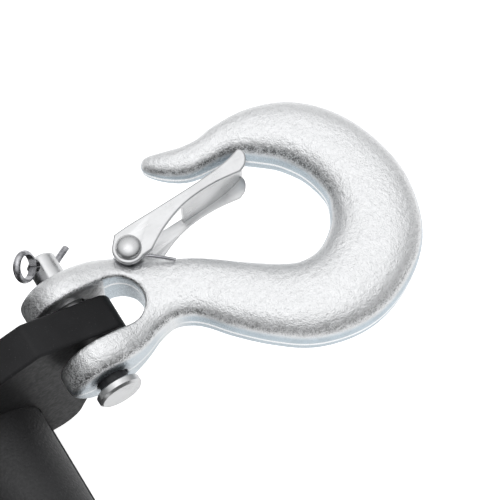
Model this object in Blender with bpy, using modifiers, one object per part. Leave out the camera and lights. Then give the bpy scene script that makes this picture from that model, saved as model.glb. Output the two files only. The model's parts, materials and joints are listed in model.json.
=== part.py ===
"""Geared hand winch for a boat trailer, with a forged slip hook on its anchor plate.

Metres, +Z up, +X towards the hook. The origin is the centre of the base plate's underside.
The drum, the crank shaft and the hook's clevis pin all lie along Y.
"""
import math

import bmesh
import bpy
from mathutils import Matrix, Vector

MM = 0.001
GAP = 0.3 * MM                      # clearance between pieces that touch

# ---- frame ----
BASE_LENGTH = 150 * MM
BASE_THICK = 5 * MM
BASE_SLOT_LENGTH = 22 * MM
BASE_SLOT_WIDTH = 9 * MM
BASE_SLOT_X = 50 * MM
BASE_SLOT_Y = 32 * MM
INSIDE_WIDTH = 100 * MM             # between the two side plates
SIDE_THICK = 4 * MM
BASE_WIDTH = INSIDE_WIDTH + 2 * SIDE_THICK
ANCHOR_THICK = 12 * MM
TUBE_R = 17.5 * MM                  # cross tube the anchor plate is welded round
TUBE_WALL = 3 * MM
PIN_TO_BASE_EDGE = 18 * MM          # how far the clevis pin stands out past the base
PIN_ABOVE_PLATE_FOOT = 52.6 * MM
PIN_TO_TUBE = Vector((-38.4 * MM, 0, -29.2 * MM))

# ---- drum and gear train ----
MODULE = 2.5 * MM
GEAR_TEETH = 40
PINION_TEETH = 10
GEAR_WIDTH = 6 * MM
PINION_WIDTH = 13 * MM
PRESSURE_ANGLE = math.radians(25)
TOOTH_THINNING = 0.2 * MM           # taken off each flank, for backlash
SHAFT_DIRECTION = math.radians(125)  # from the drum's axis to the crank shaft's
DRUM_LINE_LENGTH = 67 * MM          # between the flanges
DRUM_CENTRE_Y = 2.5 * MM
HUB_R = 17 * MM
FLANGE_R = 46 * MM
FLANGE_THICK = 3 * MM
AXLE_R = 6 * MM
BUSH_WALL = 2.7 * MM
STRAP_BOLT_R = 4 * MM
STRAP_BOLT_RADIUS = 28 * MM         # from the drum's axis

# ---- crank ----
SHAFT_R = 6.5 * MM
SHAFT_END_R = 5.5 * MM
ARM_REACH = 165 * MM
ARM_THICK = 5 * MM
ARM_DIRECTION = math.radians(212)
GRIP_LENGTH = 102 * MM
GRIP_R = 15 * MM
GRIP_AXLE_R = 4.5 * MM

# ---- ratchet ----
RATCHET_TEETH = 12
RATCHET_R = 20 * MM
RATCHET_DEPTH = 4 * MM
RATCHET_WIDTH = 5 * MM
PAWL_PIN_R = 4 * MM
PAWL_REACH = 34 * MM                # ratchet axis to pawl axis
PAWL_DIRECTION = math.radians(20)
PAWL_LIFT = math.radians(10)        # how far the resting pawl is lifted out of the teeth
PAWL_THICK = 4 * MM

# ---- hook ----
PIN_R = 4.75 * MM
PIN_CLEARANCE = 0.35 * MM           # round the pin, in the hook's ears and in the anchor plate
PIN_BORE_R = PIN_R + PIN_CLEARANCE
PIN_HEAD_R = 7.2 * MM
PIN_HEAD_THICK = 3 * MM
PIN_HEAD_Y = -20.5 * MM             # the head's inner face
PIN_END_Y = 27.5 * MM
COTTER_Y = 24.8 * MM
COTTER_HOLE_R = 2.2 * MM
COTTER_DIRECTION = math.radians(128)
COTTER_TURN = math.radians(-37.5)   # of the cotter about its own length
COTTER_EYE_R = 3.8 * MM
JAW_GAP = 16 * MM
JAW_ROOT_X = 12.7 * MM              # centre of the jaw's round root
LATCH_PIVOT = Vector((23.7 * MM, 12.7 * MM, 0))
LATCH_WIDTH = 22 * MM
LATCH_SHEET = 1.5 * MM
RIVET_R = 2.5 * MM
TAB_HALF = 5 * MM                   # half thickness of the tab that holds the rivet
LATCH_WIRE_R = 0.55 * MM
LATCH_COIL_R = RIVET_R + 2 * GAP + LATCH_WIRE_R

# ---- places that follow from the sizes ----
PIN = Vector((BASE_LENGTH / 2 + PIN_TO_BASE_EDGE, 0, BASE_THICK + GAP + PIN_ABOVE_PLATE_FOOT))
TUBE = PIN + PIN_TO_TUBE
GEAR_PITCH_R = MODULE * GEAR_TEETH / 2
PINION_PITCH_R = MODULE * PINION_TEETH / 2
ADDENDUM = 0.8 * MODULE
DRUM_Z = BASE_THICK + GEAR_PITCH_R + ADDENDUM + 5 * MM
DRUM_TO_TUBE = GEAR_PITCH_R + ADDENDUM + TUBE_R + 3 * MM
DRUM = Vector((TUBE.x - math.sqrt(DRUM_TO_TUBE ** 2 - (DRUM_Z - TUBE.z) ** 2), 0, DRUM_Z))
CENTRE_DISTANCE = GEAR_PITCH_R + PINION_PITCH_R + 0.2 * MM
SHAFT = DRUM + CENTRE_DISTANCE * Vector((math.cos(SHAFT_DIRECTION), 0, math.sin(SHAFT_DIRECTION)))
PAWL = SHAFT + PAWL_REACH * Vector((math.cos(PAWL_DIRECTION), 0, math.sin(PAWL_DIRECTION)))
REAR_TIE = DRUM + (GEAR_PITCH_R + ADDENDUM + 9 * MM) * Vector((math.cos(math.radians(203)), 0,
                                                               math.sin(math.radians(203))))
SIDE_IN = INSIDE_WIDTH / 2
SIDE_OUT = SIDE_IN + SIDE_THICK
FLANGE_LEFT_Y = DRUM_CENTRE_Y + DRUM_LINE_LENGTH / 2 + FLANGE_THICK / 2
FLANGE_RIGHT_Y = DRUM_CENTRE_Y - DRUM_LINE_LENGTH / 2 - FLANGE_THICK / 2
GEAR_Y = FLANGE_RIGHT_Y - FLANGE_THICK / 2 - GAP - GEAR_WIDTH / 2
BUSH_R = AXLE_R + GAP + BUSH_WALL
SHAFT_BUSH_R = SHAFT_R + GAP + BUSH_WALL
SHAFT_BUSH_LIP = 2 * MM
ARM_Y = -(SIDE_OUT + 10 * MM)
GRIP = SHAFT + ARM_REACH * Vector((math.cos(ARM_DIRECTION), 0, math.sin(ARM_DIRECTION)))
RATCHET_Y = SIDE_IN - SHAFT_BUSH_LIP - 2 * GAP - RATCHET_WIDTH / 2
PAWL_Y = RATCHET_Y

PARTS = "boat_trailer_winch"
CUTTERS = "cutters"

FINISHES = {                        # colour, metallic, roughness
    "black_coat": ((0.018, 0.018, 0.02), 0.0, 0.42),
    "bright_zinc": ((0.74, 0.75, 0.76), 1.0, 0.34),
    "forged_zinc": ((0.78, 0.79, 0.8), 1.0, 0.5),
    "dark_steel": ((0.33, 0.33, 0.34), 1.0, 0.38),
    "bronze": ((0.55, 0.37, 0.18), 1.0, 0.45),
    "spring_steel": ((0.42, 0.42, 0.44), 1.0, 0.3),
    "black_rubber": ((0.03, 0.03, 0.032), 0.0, 0.7),
}


# ---------------------------------------------------------------- helpers

def clear_scene():
    for obj in list(bpy.data.objects):
        bpy.data.objects.remove(obj, do_unlink=True)
    for name in (PARTS, CUTTERS):
        old = bpy.data.collections.get(name)
        if old:
            bpy.data.collections.remove(old)
        group = bpy.data.collections.new(name)
        bpy.context.scene.collection.children.link(group)


def link(name, data, group=PARTS):
    obj = bpy.data.objects.new(name, data)
    bpy.data.collections[group].objects.link(obj)
    return obj


def mesh_object(name, bm, group=PARTS, angle=35):
    """Put a bmesh in a new object, facing out and shaded smooth up to an angle."""
    bmesh.ops.recalc_face_normals(bm, faces=bm.faces)
    mesh = bpy.data.meshes.new(name)
    bm.to_mesh(mesh)
    bm.free()
    mesh.shade_smooth()
    mesh.set_sharp_from_angle(angle=math.radians(angle))
    return link(name, mesh, group)


def finish(obj, kind):
    colour, metallic, roughness = FINISHES[kind]
    material = bpy.data.materials.new(obj.name)
    material.use_nodes = True
    shader = material.node_tree.nodes["Principled BSDF"]
    shader.inputs["Base Color"].default_value = (*colour, 1)
    shader.inputs["Metallic"].default_value = metallic
    shader.inputs["Roughness"].default_value = roughness
    material.diffuse_color = (*colour, 1)
    obj.data.materials.clear()
    obj.data.materials.append(material)
    return obj


def pivot(name, at, pieces):
    """Hang pieces on an empty that sits on their joint's axis."""
    empty = link(name, None)
    empty.location = at
    empty.empty_display_size = 0.02
    to_local = Matrix.Translation(at).inverted()
    for piece in pieces:
        piece.parent = empty
        piece.matrix_parent_inverse = to_local
    return empty


def box(name, low, high, group=PARTS):
    bm = bmesh.new()
    bmesh.ops.create_cube(bm, size=1)
    size = Vector(high) - Vector(low)
    bmesh.ops.scale(bm, vec=size, verts=bm.verts)
    bmesh.ops.translate(bm, vec=(Vector(low) + Vector(high)) / 2, verts=bm.verts)
    return mesh_object(name, bm, group)


def axis_matrix(at, axis):
    """Local Z along the named axis, with its zero at the given point."""
    turn = {"X": Matrix.Rotation(math.pi / 2, 4, "Y"),
            "Y": Matrix.Rotation(-math.pi / 2, 4, "X"),
            "Z": Matrix.Identity(4)}[axis]
    return Matrix.Translation(at) @ turn


def cylinder(name, at, axis, low, high, radius, sides=20, group=PARTS):
    bm = bmesh.new()
    bmesh.ops.create_cone(bm, cap_ends=True, segments=sides, radius1=radius, radius2=radius,
                          depth=high - low)
    bmesh.ops.translate(bm, vec=(0, 0, (low + high) / 2), verts=bm.verts)
    bmesh.ops.transform(bm, matrix=axis_matrix(at, axis), verts=bm.verts)
    return mesh_object(name, bm, group)


def turned(name, profile, at, axis="Y", sides=20, closed=False, group=PARTS):
    """Spin a profile of (radius, height) pairs, listed from the top down the outside."""
    bm = bmesh.new()
    verts = [bm.verts.new((radius, 0, height)) for radius, height in profile]
    ends = verts[1:] + verts[:1] if closed else verts[1:]
    for one, other in zip(verts, ends):
        bm.edges.new((one, other))
    mesh = bpy.data.meshes.new(name)
    bm.to_mesh(mesh)
    bm.free()
    obj = link(name, mesh, group)
    screw = obj.modifiers.new("turn", "SCREW")
    screw.steps = sides
    screw.render_steps = sides
    screw.use_merge_vertices = True
    screw.merge_threshold = 0.00001
    screw.use_smooth_shade = True
    obj.matrix_world = axis_matrix(at, axis)
    return obj


def rod(name, at, low, high, radius, chamfer, axis="Y", sides=20):
    return turned(name, [(0, high), (radius - chamfer, high), (radius, high - chamfer),
                         (radius, low + chamfer), (radius - chamfer, low), (0, low)],
                  at, axis, sides)


def sleeve(name, at, low, high, inner, outer, sides=20):
    """A plain tube, spacer or washer along Y."""
    profile = [(outer, high), (outer, low), (inner, low), (inner, high)]
    return turned(name, profile, at, sides=sides, closed=True)


def modify(target, tool, operation):
    """Cut or join with a Boolean, and hide the tool from renders."""
    boolean = target.modifiers.new(tool.name, "BOOLEAN")
    boolean.operation = operation
    boolean.object = tool
    tool.hide_render = True
    tool.display_type = "WIRE"
    for group in list(tool.users_collection):
        group.objects.unlink(tool)
    bpy.data.collections[CUTTERS].objects.link(tool)


def cut(target, tool):
    modify(target, tool, "DIFFERENCE")


def join(target, tool):
    modify(target, tool, "UNION")


def bevel(obj, width, segments=2, angle=40):
    modifier = obj.modifiers.new("edges", "BEVEL")
    modifier.width = width
    modifier.segments = segments
    modifier.limit_method = "ANGLE"
    modifier.angle_limit = math.radians(angle)


def arc(centre, radius, start, end, count):
    """Points along an arc in a plane, with angles in degrees."""
    step = (end - start) / (count - 1)
    angles = [math.radians(start + step * i) for i in range(count)]
    return [(centre[0] + radius * math.cos(a), centre[1] + radius * math.sin(a)) for a in angles]


def circle(centre, radius, count=24):
    return arc(centre, radius, 0, 360 - 360 / count, count)


def hull(points):
    """The convex outline round a set of points, anticlockwise."""
    ordered = sorted(set(points))

    def chain(sequence):
        line = []
        for p in sequence:
            while len(line) > 1 and ((line[-1][0] - line[-2][0]) * (p[1] - line[-2][1])
                                     - (line[-1][1] - line[-2][1]) * (p[0] - line[-2][0])) <= 0:
                line.pop()
            line.append(p)
        return line[:-1]

    return chain(ordered) + chain(reversed(ordered))


def hull_of_circles(circles, count=24):
    return hull([p for centre, radius in circles for p in circle(centre, radius, count)])


def plate(name, loops, at, low, high, flat=False, group=PARTS):
    """A flat outline with holes, given depth. It stands along Y, or lies flat along Z."""
    curve = bpy.data.curves.new(name, "CURVE")
    curve.dimensions = "2D"
    curve.fill_mode = "BOTH"
    curve.extrude = (high - low) / 2
    for loop in loops:
        spline = curve.splines.new("POLY")
        spline.points.add(len(loop) - 1)
        spline.use_cyclic_u = True
        for point, (u, v) in zip(spline.points, loop):
            point.co = (u, v, 0, 1)
    guide = link(name + "_outline", curve, group)
    bpy.context.view_layer.update()
    mesh = bpy.data.meshes.new_from_object(guide.evaluated_get(
        bpy.context.evaluated_depsgraph_get()))
    bpy.data.objects.remove(guide, do_unlink=True)
    bm = bmesh.new()
    bm.from_mesh(mesh)
    bpy.data.meshes.remove(mesh)
    bmesh.ops.remove_doubles(bm, verts=bm.verts, dist=0.000005)
    middle = (low + high) / 2
    if flat:
        bmesh.ops.translate(bm, vec=(at[0], at[1], at[2] + middle), verts=bm.verts)
    else:
        stand = Matrix.Rotation(math.pi / 2, 4, "X")
        bmesh.ops.transform(bm, verts=bm.verts,
                            matrix=Matrix.Translation((at[0], at[1] + middle, at[2])) @ stand)
    return mesh_object(name, bm, group)


def skin(name, rings, group=PARTS):
    """Join rings of points with quads and close both ends."""
    bm = bmesh.new()
    loops = [[bm.verts.new(p) for p in ring] for ring in rings]
    for one, other in zip(loops, loops[1:]):
        for i in range(len(one)):
            j = (i + 1) % len(one)
            bm.faces.new((one[i], one[j], other[j], other[i]))
    bm.faces.new(loops[0][::-1])
    bm.faces.new(loops[-1])
    return mesh_object(name, bm, group, angle=60)


def hex_prism(name, at, low, high, across, group=PARTS):
    """A hexagon along Y with its corners turned down at both faces."""
    corner = across / math.sqrt(3)
    prism = cylinder(name, at, "Y", low, high, corner, sides=6, group=group)
    slope = (corner - across / 2) * 0.8
    barrel = turned(name + "_chamfer", [(0, high), (across * 0.49, high), (corner * 1.05, high - slope),
                                        (corner * 1.05, low + slope), (across * 0.49, low), (0, low)],
                    at, sides=12)
    modify(prism, barrel, "INTERSECT")
    return prism


def hex_nut(name, at, low, high, across, bore, kind="bright_zinc"):
    nut = hex_prism(name, at, low, high, across)
    cut(nut, cylinder(name + "_bore", at, "Y", low - MM, high + MM, bore, sides=16))
    return finish(nut, kind)


def hex_bolt(name, at, head_face, head_thick, shank_end, radius, across, kind="bright_zinc"):
    """A bolt along Y. Its head starts at head_face and its shank runs to shank_end."""
    way = 1 if shank_end > head_face else -1
    far = head_face - way * head_thick
    shank = rod(name, at, min(far + way * MM, shank_end), max(far + way * MM, shank_end),
                radius, 0.8 * MM, sides=16)
    join(shank, hex_prism(name + "_head", at, min(far, head_face), max(far, head_face), across))
    return finish(shank, kind)


def smooth_path(rows, steps):
    """Catmull-Rom rows between the given rows, both ends kept."""
    out = []
    for i in range(len(rows) - 1):
        before = rows[max(i - 1, 0)]
        after = rows[min(i + 2, len(rows) - 1)]
        for k in range(steps):
            t = k / steps
            out.append(tuple(0.5 * (2 * b + (c - a) * t + (2 * a - 5 * b + 4 * c - d) * t * t
                                    + (3 * b - a - 3 * c + d) * t ** 3)
                             for a, b, c, d in zip(before, rows[i], rows[i + 1], after)))
    return out + [rows[-1]]


# ---------------------------------------------------------------- frame

def at_xz(point):
    return (point.x, point.z)


def side_outline():
    """The side plates wrap round the base, the cross tube, the crank shaft and the pawl."""
    foot = BASE_THICK + GAP
    corner = 4 * MM
    reach = BASE_LENGTH / 2
    return hull_of_circles([
        ((-reach + corner, foot + corner), corner),
        ((reach - 12 * MM, foot + corner), corner),
        (at_xz(TUBE), TUBE_R + 3.5 * MM),
        (at_xz(SHAFT), SHAFT_BUSH_R + 10 * MM),
        (at_xz(PAWL), PAWL_PIN_R + 8 * MM),
        (at_xz(REAR_TIE), 11 * MM)])


def build_base():
    base = box("base_plate", (-BASE_LENGTH / 2, -BASE_WIDTH / 2, 0),
               (BASE_LENGTH / 2, BASE_WIDTH / 2, BASE_THICK))
    bevel(base, 0.8 * MM, 1)
    half = (BASE_SLOT_LENGTH - BASE_SLOT_WIDTH) / 2
    for i, x in enumerate((-BASE_SLOT_X, BASE_SLOT_X)):
        for j, y in enumerate((-BASE_SLOT_Y, BASE_SLOT_Y)):
            slot = hull_of_circles([((-half, 0), BASE_SLOT_WIDTH / 2), ((half, 0), BASE_SLOT_WIDTH / 2)], 24)
            cut(base, plate(f"base_slot_{i}{j}", [slot], (x, y, 0), -5 * MM, BASE_THICK + 5 * MM, flat=True))
    return finish(base, "black_coat")


def build_side(name, side):
    low = SIDE_IN if side > 0 else -SIDE_OUT
    panel = plate(name, [side_outline()], (0, 0, 0), low, low + SIDE_THICK)
    bevel(panel, 0.6 * MM, 1)
    holes = [("tube_bolt", TUBE, 5 * MM), ("axle", DRUM, AXLE_R), ("rear_bolt", REAR_TIE, 4 * MM),
             ("shaft", SHAFT, SHAFT_BUSH_R)]
    if side > 0:
        holes.append(("pawl", PAWL, PAWL_PIN_R))
    for label, place, radius in holes:
        cut(panel, cylinder(f"{name}_{label}_hole", place, "Y", low - 5 * MM, low + SIDE_THICK + 5 * MM,
                            radius + GAP))
    return finish(panel, "black_coat")


def anchor_outline():
    """The welded plate that carries the clevis pin, from its nose back past the cross tube."""
    nose = arc((4.4 * MM, 0), 7.6 * MM, -18, 50, 8)
    foot = -PIN_ABOVE_PLATE_FOOT
    toe = arc((-16 * MM, foot + 10 * MM), 10 * MM, -90, -18, 7)
    crest = arc((-17.4 * MM, 13.6 * MM), 3 * MM, 64, 107, 4)
    back = [(-47 * MM, 7.4 * MM), (-56 * MM, -20 * MM), (-60 * MM, foot)]
    return toe + nose + crest + back


def build_anchor():
    anchor = plate("anchor_plate", [anchor_outline()], PIN, -ANCHOR_THICK / 2, ANCHOR_THICK / 2)
    bevel(anchor, 0.8 * MM, 2)
    for label, place, radius in (("tube", TUBE, TUBE_R + GAP), ("pin", PIN, PIN_BORE_R)):
        cut(anchor, cylinder(f"anchor_{label}_hole", place, "Y", -12 * MM, 12 * MM, radius, sides=32))
    return finish(anchor, "black_coat")


def build_tube():
    half = SIDE_IN - GAP
    tube = sleeve("cross_tube", TUBE, -half, half, TUBE_R - TUBE_WALL, TUBE_R, sides=32)
    return finish(tube, "black_coat")


def build_frame_bolts():
    face = SIDE_OUT + GAP
    hex_bolt("cross_tube_bolt", TUBE, -face, 6 * MM, face + 11 * MM, 5 * MM, 16 * MM)
    hex_nut("cross_tube_nut", TUBE, face, face + 8 * MM, 16 * MM, 5 * MM + GAP)
    hex_bolt("drum_axle_bolt", DRUM, -face, 6 * MM, face + 13 * MM, AXLE_R, 18 * MM)
    hex_nut("drum_axle_nut", DRUM, face, face + 10 * MM, 18 * MM, AXLE_R + GAP)
    hex_bolt("rear_tie_bolt", REAR_TIE, -face, 5 * MM, face + 9 * MM, 4 * MM, 13 * MM)
    hex_nut("rear_tie_nut", REAR_TIE, face, face + 6.5 * MM, 13 * MM, 4 * MM + GAP)
    half = SIDE_IN - GAP
    finish(sleeve("rear_tie_tube", REAR_TIE, -half, half, 4 * MM + GAP, 6.5 * MM), "black_coat")
    for name, low, high in (
            ("axle_spacer_left", FLANGE_LEFT_Y + FLANGE_THICK / 2 + GAP, half),
            ("axle_spacer_right", -half, GEAR_Y - GEAR_WIDTH / 2 - GAP)):
        finish(sleeve(name, DRUM, low, high, AXLE_R + GAP, AXLE_R + 4 * MM), "bright_zinc")
    for name, side in (("shaft_bush_left", 1), ("shaft_bush_right", -1)):
        finish(shaft_bush(name, side), "bronze")


def shaft_bush(name, side):
    """A flanged bush: its lip lies inside the side plate, its barrel goes through it."""
    inner = SHAFT_R + GAP
    lip = SHAFT_BUSH_R + 3 * MM
    face = SIDE_IN - GAP
    profile = [(SHAFT_BUSH_R, SIDE_OUT), (SHAFT_BUSH_R, face), (lip, face),
               (lip, face - SHAFT_BUSH_LIP), (inner, face - SHAFT_BUSH_LIP), (inner, SIDE_OUT)]
    if side < 0:
        profile = [(radius, -height) for radius, height in reversed(profile)]
    return turned(name, profile, SHAFT, closed=True)


# ---------------------------------------------------------------- gears and drum

def gear_outline(teeth, phase):
    """Involute teeth with a short addendum; phase turns the first tooth's centre."""
    pitch_r = MODULE * teeth / 2
    base_r = pitch_r * math.cos(PRESSURE_ANGLE)
    root_r = pitch_r - MODULE
    tip_r = pitch_r + ADDENDUM

    def half_angle(radius):
        at_pitch = math.pi / (2 * teeth) - TOOTH_THINNING / pitch_r
        slope = math.acos(min(1, base_r / max(radius, base_r)))
        return (at_pitch + math.tan(PRESSURE_ANGLE) - PRESSURE_ANGLE - (math.tan(slope) - slope))

    radii = [root_r] + ([base_r] if base_r > root_r + 0.1 * MM else [])
    radii += [pitch_r, (pitch_r + tip_r) / 2, tip_r]
    points = []
    for i in range(teeth):
        middle = phase + 2 * math.pi * i / teeth
        flank = [(r, half_angle(r)) for r in radii]
        points += [(r * math.cos(middle - a), r * math.sin(middle - a)) for r, a in flank]
        points += [(r * math.cos(middle + a), r * math.sin(middle + a)) for r, a in reversed(flank)]
    return points


def polar(radius, angle):
    return (radius * math.cos(angle), radius * math.sin(angle))


def strap_bolt_place():
    return polar(STRAP_BOLT_RADIUS, math.pi)


def build_drum():
    low = FLANGE_RIGHT_Y + FLANGE_THICK / 2 + GAP
    high = FLANGE_LEFT_Y - FLANGE_THICK / 2 - GAP
    bush_length = 14 * MM
    finish(sleeve("drum_hub", DRUM, low, high, BUSH_R + GAP, HUB_R, sides=32), "bright_zinc")
    for name, start in (("drum_bush_left", high - bush_length), ("drum_bush_right", low)):
        finish(sleeve(name, DRUM, start, start + bush_length, AXLE_R + GAP, BUSH_R), "bronze")
    bolt_hole = circle(strap_bolt_place(), STRAP_BOLT_R + GAP, 16)
    axle_hole = circle((0, 0), AXLE_R + GAP)
    for name, middle in (("drum_flange_left", FLANGE_LEFT_Y), ("drum_flange_right", FLANGE_RIGHT_Y)):
        disc = plate(name, [circle((0, 0), FLANGE_R, 56), axle_hole, bolt_hole], DRUM,
                     middle - FLANGE_THICK / 2, middle + FLANGE_THICK / 2)
        finish(disc, "bright_zinc")
    windows = [circle(polar(34 * MM, math.radians(72 * k)), 7 * MM, 16) for k in range(5)]
    gear = plate("drum_gear", [gear_outline(GEAR_TEETH, SHAFT_DIRECTION), axle_hole, bolt_hole] + windows,
                 DRUM, GEAR_Y - GEAR_WIDTH / 2, GEAR_Y + GEAR_WIDTH / 2)
    finish(gear, "dark_steel")
    u, v = strap_bolt_place()
    place = DRUM + Vector((u, 0, v))
    head_face = FLANGE_LEFT_Y + FLANGE_THICK / 2 + GAP
    nut_face = GEAR_Y - GEAR_WIDTH / 2 - GAP
    hex_bolt("strap_bolt", place, head_face, 4 * MM, nut_face - 5 * MM, STRAP_BOLT_R, 12 * MM)
    hex_nut("strap_bolt_nut", place, nut_face - 4 * MM, nut_face, 12 * MM, STRAP_BOLT_R + GAP)


# ---------------------------------------------------------------- crank

def build_crank():
    step = ARM_Y + ARM_THICK / 2 + GAP
    tail = SIDE_OUT + 4 * MM
    nut_room = 14 * MM
    end = ARM_Y - ARM_THICK / 2 - nut_room
    shaft = turned("crank_shaft", [(0, tail), (SHAFT_R - 0.8 * MM, tail), (SHAFT_R, tail - 0.8 * MM),
                                   (SHAFT_R, step), (SHAFT_END_R, step), (SHAFT_END_R, end + MM),
                                   (SHAFT_END_R - MM, end), (0, end)], SHAFT)
    finish(shaft, "dark_steel")
    bore = circle((0, 0), SHAFT_R + GAP)
    facing = SHAFT_DIRECTION + math.pi + math.pi / PINION_TEETH
    pinion = plate("pinion_gear", [gear_outline(PINION_TEETH, facing), bore], SHAFT,
                   GEAR_Y - PINION_WIDTH / 2 - MM, GEAR_Y + PINION_WIDTH / 2 - MM)
    finish(pinion, "dark_steel")
    ratchet = plate("ratchet_wheel", [ratchet_outline(), bore], SHAFT,
                    RATCHET_Y - RATCHET_WIDTH / 2, RATCHET_Y + RATCHET_WIDTH / 2)
    finish(ratchet, "dark_steel")
    finish(retaining_ring(), "spring_steel")
    finish(sleeve("crank_spacer", SHAFT, step, -SIDE_OUT - GAP, SHAFT_R + GAP, SHAFT_R + 3.5 * MM),
           "bright_zinc")
    build_arm()
    outer = ARM_Y - ARM_THICK / 2 - GAP
    finish(sleeve("crank_washer", SHAFT, outer - 1.6 * MM, outer, SHAFT_END_R + GAP, 11 * MM), "bright_zinc")
    face = outer - 1.6 * MM - GAP
    hex_nut("crank_nut", SHAFT, face - 9 * MM, face, 17 * MM, SHAFT_END_R + GAP)


def retaining_ring():
    """An open ring that snaps round the end of the shaft, outside the left side plate."""
    inner = SHAFT_R + GAP
    outer = SHAFT_R + 3 * MM
    outline = arc((0, 0), outer, 25, 335, 28) + arc((0, 0), inner, 335, 25, 28)
    low = SIDE_OUT + GAP
    return plate("shaft_retaining_ring", [outline], SHAFT, low, low + 1.2 * MM)


def build_arm():
    start = at_xz(SHAFT)
    end = at_xz(GRIP)
    outline = hull_of_circles([(start, 13 * MM), (end, 11 * MM)])
    arm = plate("crank_arm", [outline], (0, 0, 0), ARM_Y - ARM_THICK / 2, ARM_Y + ARM_THICK / 2)
    bevel(arm, 0.8 * MM, 2)
    for label, place, radius in (("shaft", SHAFT, SHAFT_END_R), ("grip", GRIP, GRIP_AXLE_R)):
        cut(arm, cylinder(f"arm_{label}_hole", place, "Y", ARM_Y - 10 * MM, ARM_Y + 10 * MM, radius + GAP))
    finish(arm, "bright_zinc")


def grip_start():
    return ARM_Y - ARM_THICK / 2 - 2 * GAP - 1.6 * MM


def build_grip():
    inside = ARM_Y + ARM_THICK / 2 + GAP
    start = grip_start()
    end = start - GRIP_LENGTH
    nut_face = end - GAP
    axle = turned("grip_axle", [(0, inside + 3 * MM), (6.5 * MM, inside + 3 * MM), (8 * MM, inside + 1.5 * MM),
                                (8 * MM, inside), (GRIP_AXLE_R, inside), (GRIP_AXLE_R, nut_face - 6 * MM),
                                (GRIP_AXLE_R - MM, nut_face - 7 * MM), (0, nut_face - 7 * MM)], GRIP)
    finish(axle, "bright_zinc")
    outer = ARM_Y - ARM_THICK / 2 - GAP
    finish(sleeve("grip_washer", GRIP, outer - 1.6 * MM, outer, GRIP_AXLE_R + GAP, 9 * MM), "bright_zinc")
    finish(grip_nut(nut_face), "bright_zinc")
    top = start - GAP
    swell = [(0.0, 0.78), (0.03, 0.98), (0.09, 1.0), (0.16, 0.86), (0.32, 0.84), (0.55, 0.97),
             (0.78, 0.9), (0.92, 0.84), (0.97, 0.78), (1.0, 0.62)]
    length = GRIP_LENGTH - 2 * GAP
    rows = smooth_path([(GRIP_R * r, top - length * t) for t, r in swell], 2)
    bore = GRIP_AXLE_R + GAP
    grip = turned("handle_grip", rows + [(bore, top - length), (bore, top)], GRIP, sides=28, closed=True)
    finish(grip, "black_rubber")


def grip_nut(face):
    """A dome nut on the end of the grip's axle."""
    across = 13 * MM
    nut = hex_prism("grip_cap_nut", GRIP, face - 6 * MM, face, across)
    dome = [(5.6 * MM * math.sin(math.radians(a)), face - 5.5 * MM - 5.2 * MM * math.cos(math.radians(a)))
            for a in range(90, -1, -18)]
    join(nut, turned("grip_nut_dome", [(0, face - 3 * MM), (5.6 * MM, face - 3 * MM)] + dome[:-1]
                     + [(0, dome[-1][1])], GRIP, sides=18))
    cut(nut, cylinder("grip_nut_bore", GRIP, "Y", face - 7.6 * MM, face + MM, GRIP_AXLE_R + GAP, sides=18))
    return nut


# ---------------------------------------------------------------- ratchet and pawl

def tip_angle():
    """Where the engaged pawl's tip meets the wheel, seen from the shaft."""
    contact = RATCHET_R - RATCHET_DEPTH * 0.6
    return PAWL_DIRECTION + math.acos(contact / PAWL_REACH)


def ratchet_outline():
    """Saw teeth whose radial faces push along the pawl."""
    points = []
    pitch = 2 * math.pi / RATCHET_TEETH
    for i in range(RATCHET_TEETH):
        face = tip_angle() + 0.02 + pitch * i
        points.append(polar(RATCHET_R - RATCHET_DEPTH, face))
        points.append(polar(RATCHET_R, face))
        points.append(polar(RATCHET_R, face + pitch * 0.16))
        points.append(polar(RATCHET_R - RATCHET_DEPTH * 0.5, face + pitch * 0.58))
    return points


def pawl_outline():
    """The pawl's beak and boss about its pin, in the engaged place, and the way it points."""
    contact = RATCHET_R - RATCHET_DEPTH * 0.6
    tip = (contact * math.cos(tip_angle()) - PAWL_REACH * math.cos(PAWL_DIRECTION),
           contact * math.sin(tip_angle()) - PAWL_REACH * math.sin(PAWL_DIRECTION))
    way = math.atan2(tip[1], tip[0])
    reach = math.hypot(*tip) - 0.4 * MM

    def along(back, towards_wheel):
        u = reach - back
        return (u * math.cos(way) - towards_wheel * math.sin(way),
                u * math.sin(way) + towards_wheel * math.cos(way))

    under = [along(0, 0.6 * MM), along(3.5 * MM, -0.6 * MM), along(8 * MM, -1.4 * MM),
             along(14 * MM, -1.2 * MM)]
    turn = math.degrees(way)
    boss = arc((0, 0), PAWL_PIN_R + 4 * MM, turn + 60, turn + 285, 12)
    back = [along(6 * MM, -6.5 * MM), along(0, -2 * MM)]
    return under + boss + back, way


def lifted(points, angle):
    """Turn points about the pawl's pin so that its tip rises off the wheel."""
    c = math.cos(angle)
    s = math.sin(angle)
    return [(u * c + v * s, -u * s + v * c) for u, v in points]


def build_pawl():
    beak, way = pawl_outline()
    lever_end = polar(40 * MM, way + math.radians(200))
    lever = hull_of_circles([((0, 0), 5 * MM), (lever_end, 4.5 * MM)], 20)
    low = PAWL_Y - PAWL_THICK / 2
    pawl = plate("ratchet_pawl", [lifted(beak, PAWL_LIFT)], PAWL, low, low + PAWL_THICK)
    join(pawl, plate("pawl_lever", [lifted(lever, PAWL_LIFT)], PAWL, low, low + PAWL_THICK))
    cut(pawl, cylinder("pawl_hole", PAWL, "Y", low - 5 * MM, low + 10 * MM, PAWL_PIN_R + GAP))
    finish(pawl, "dark_steel")
    build_pawl_mount(low)


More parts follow.
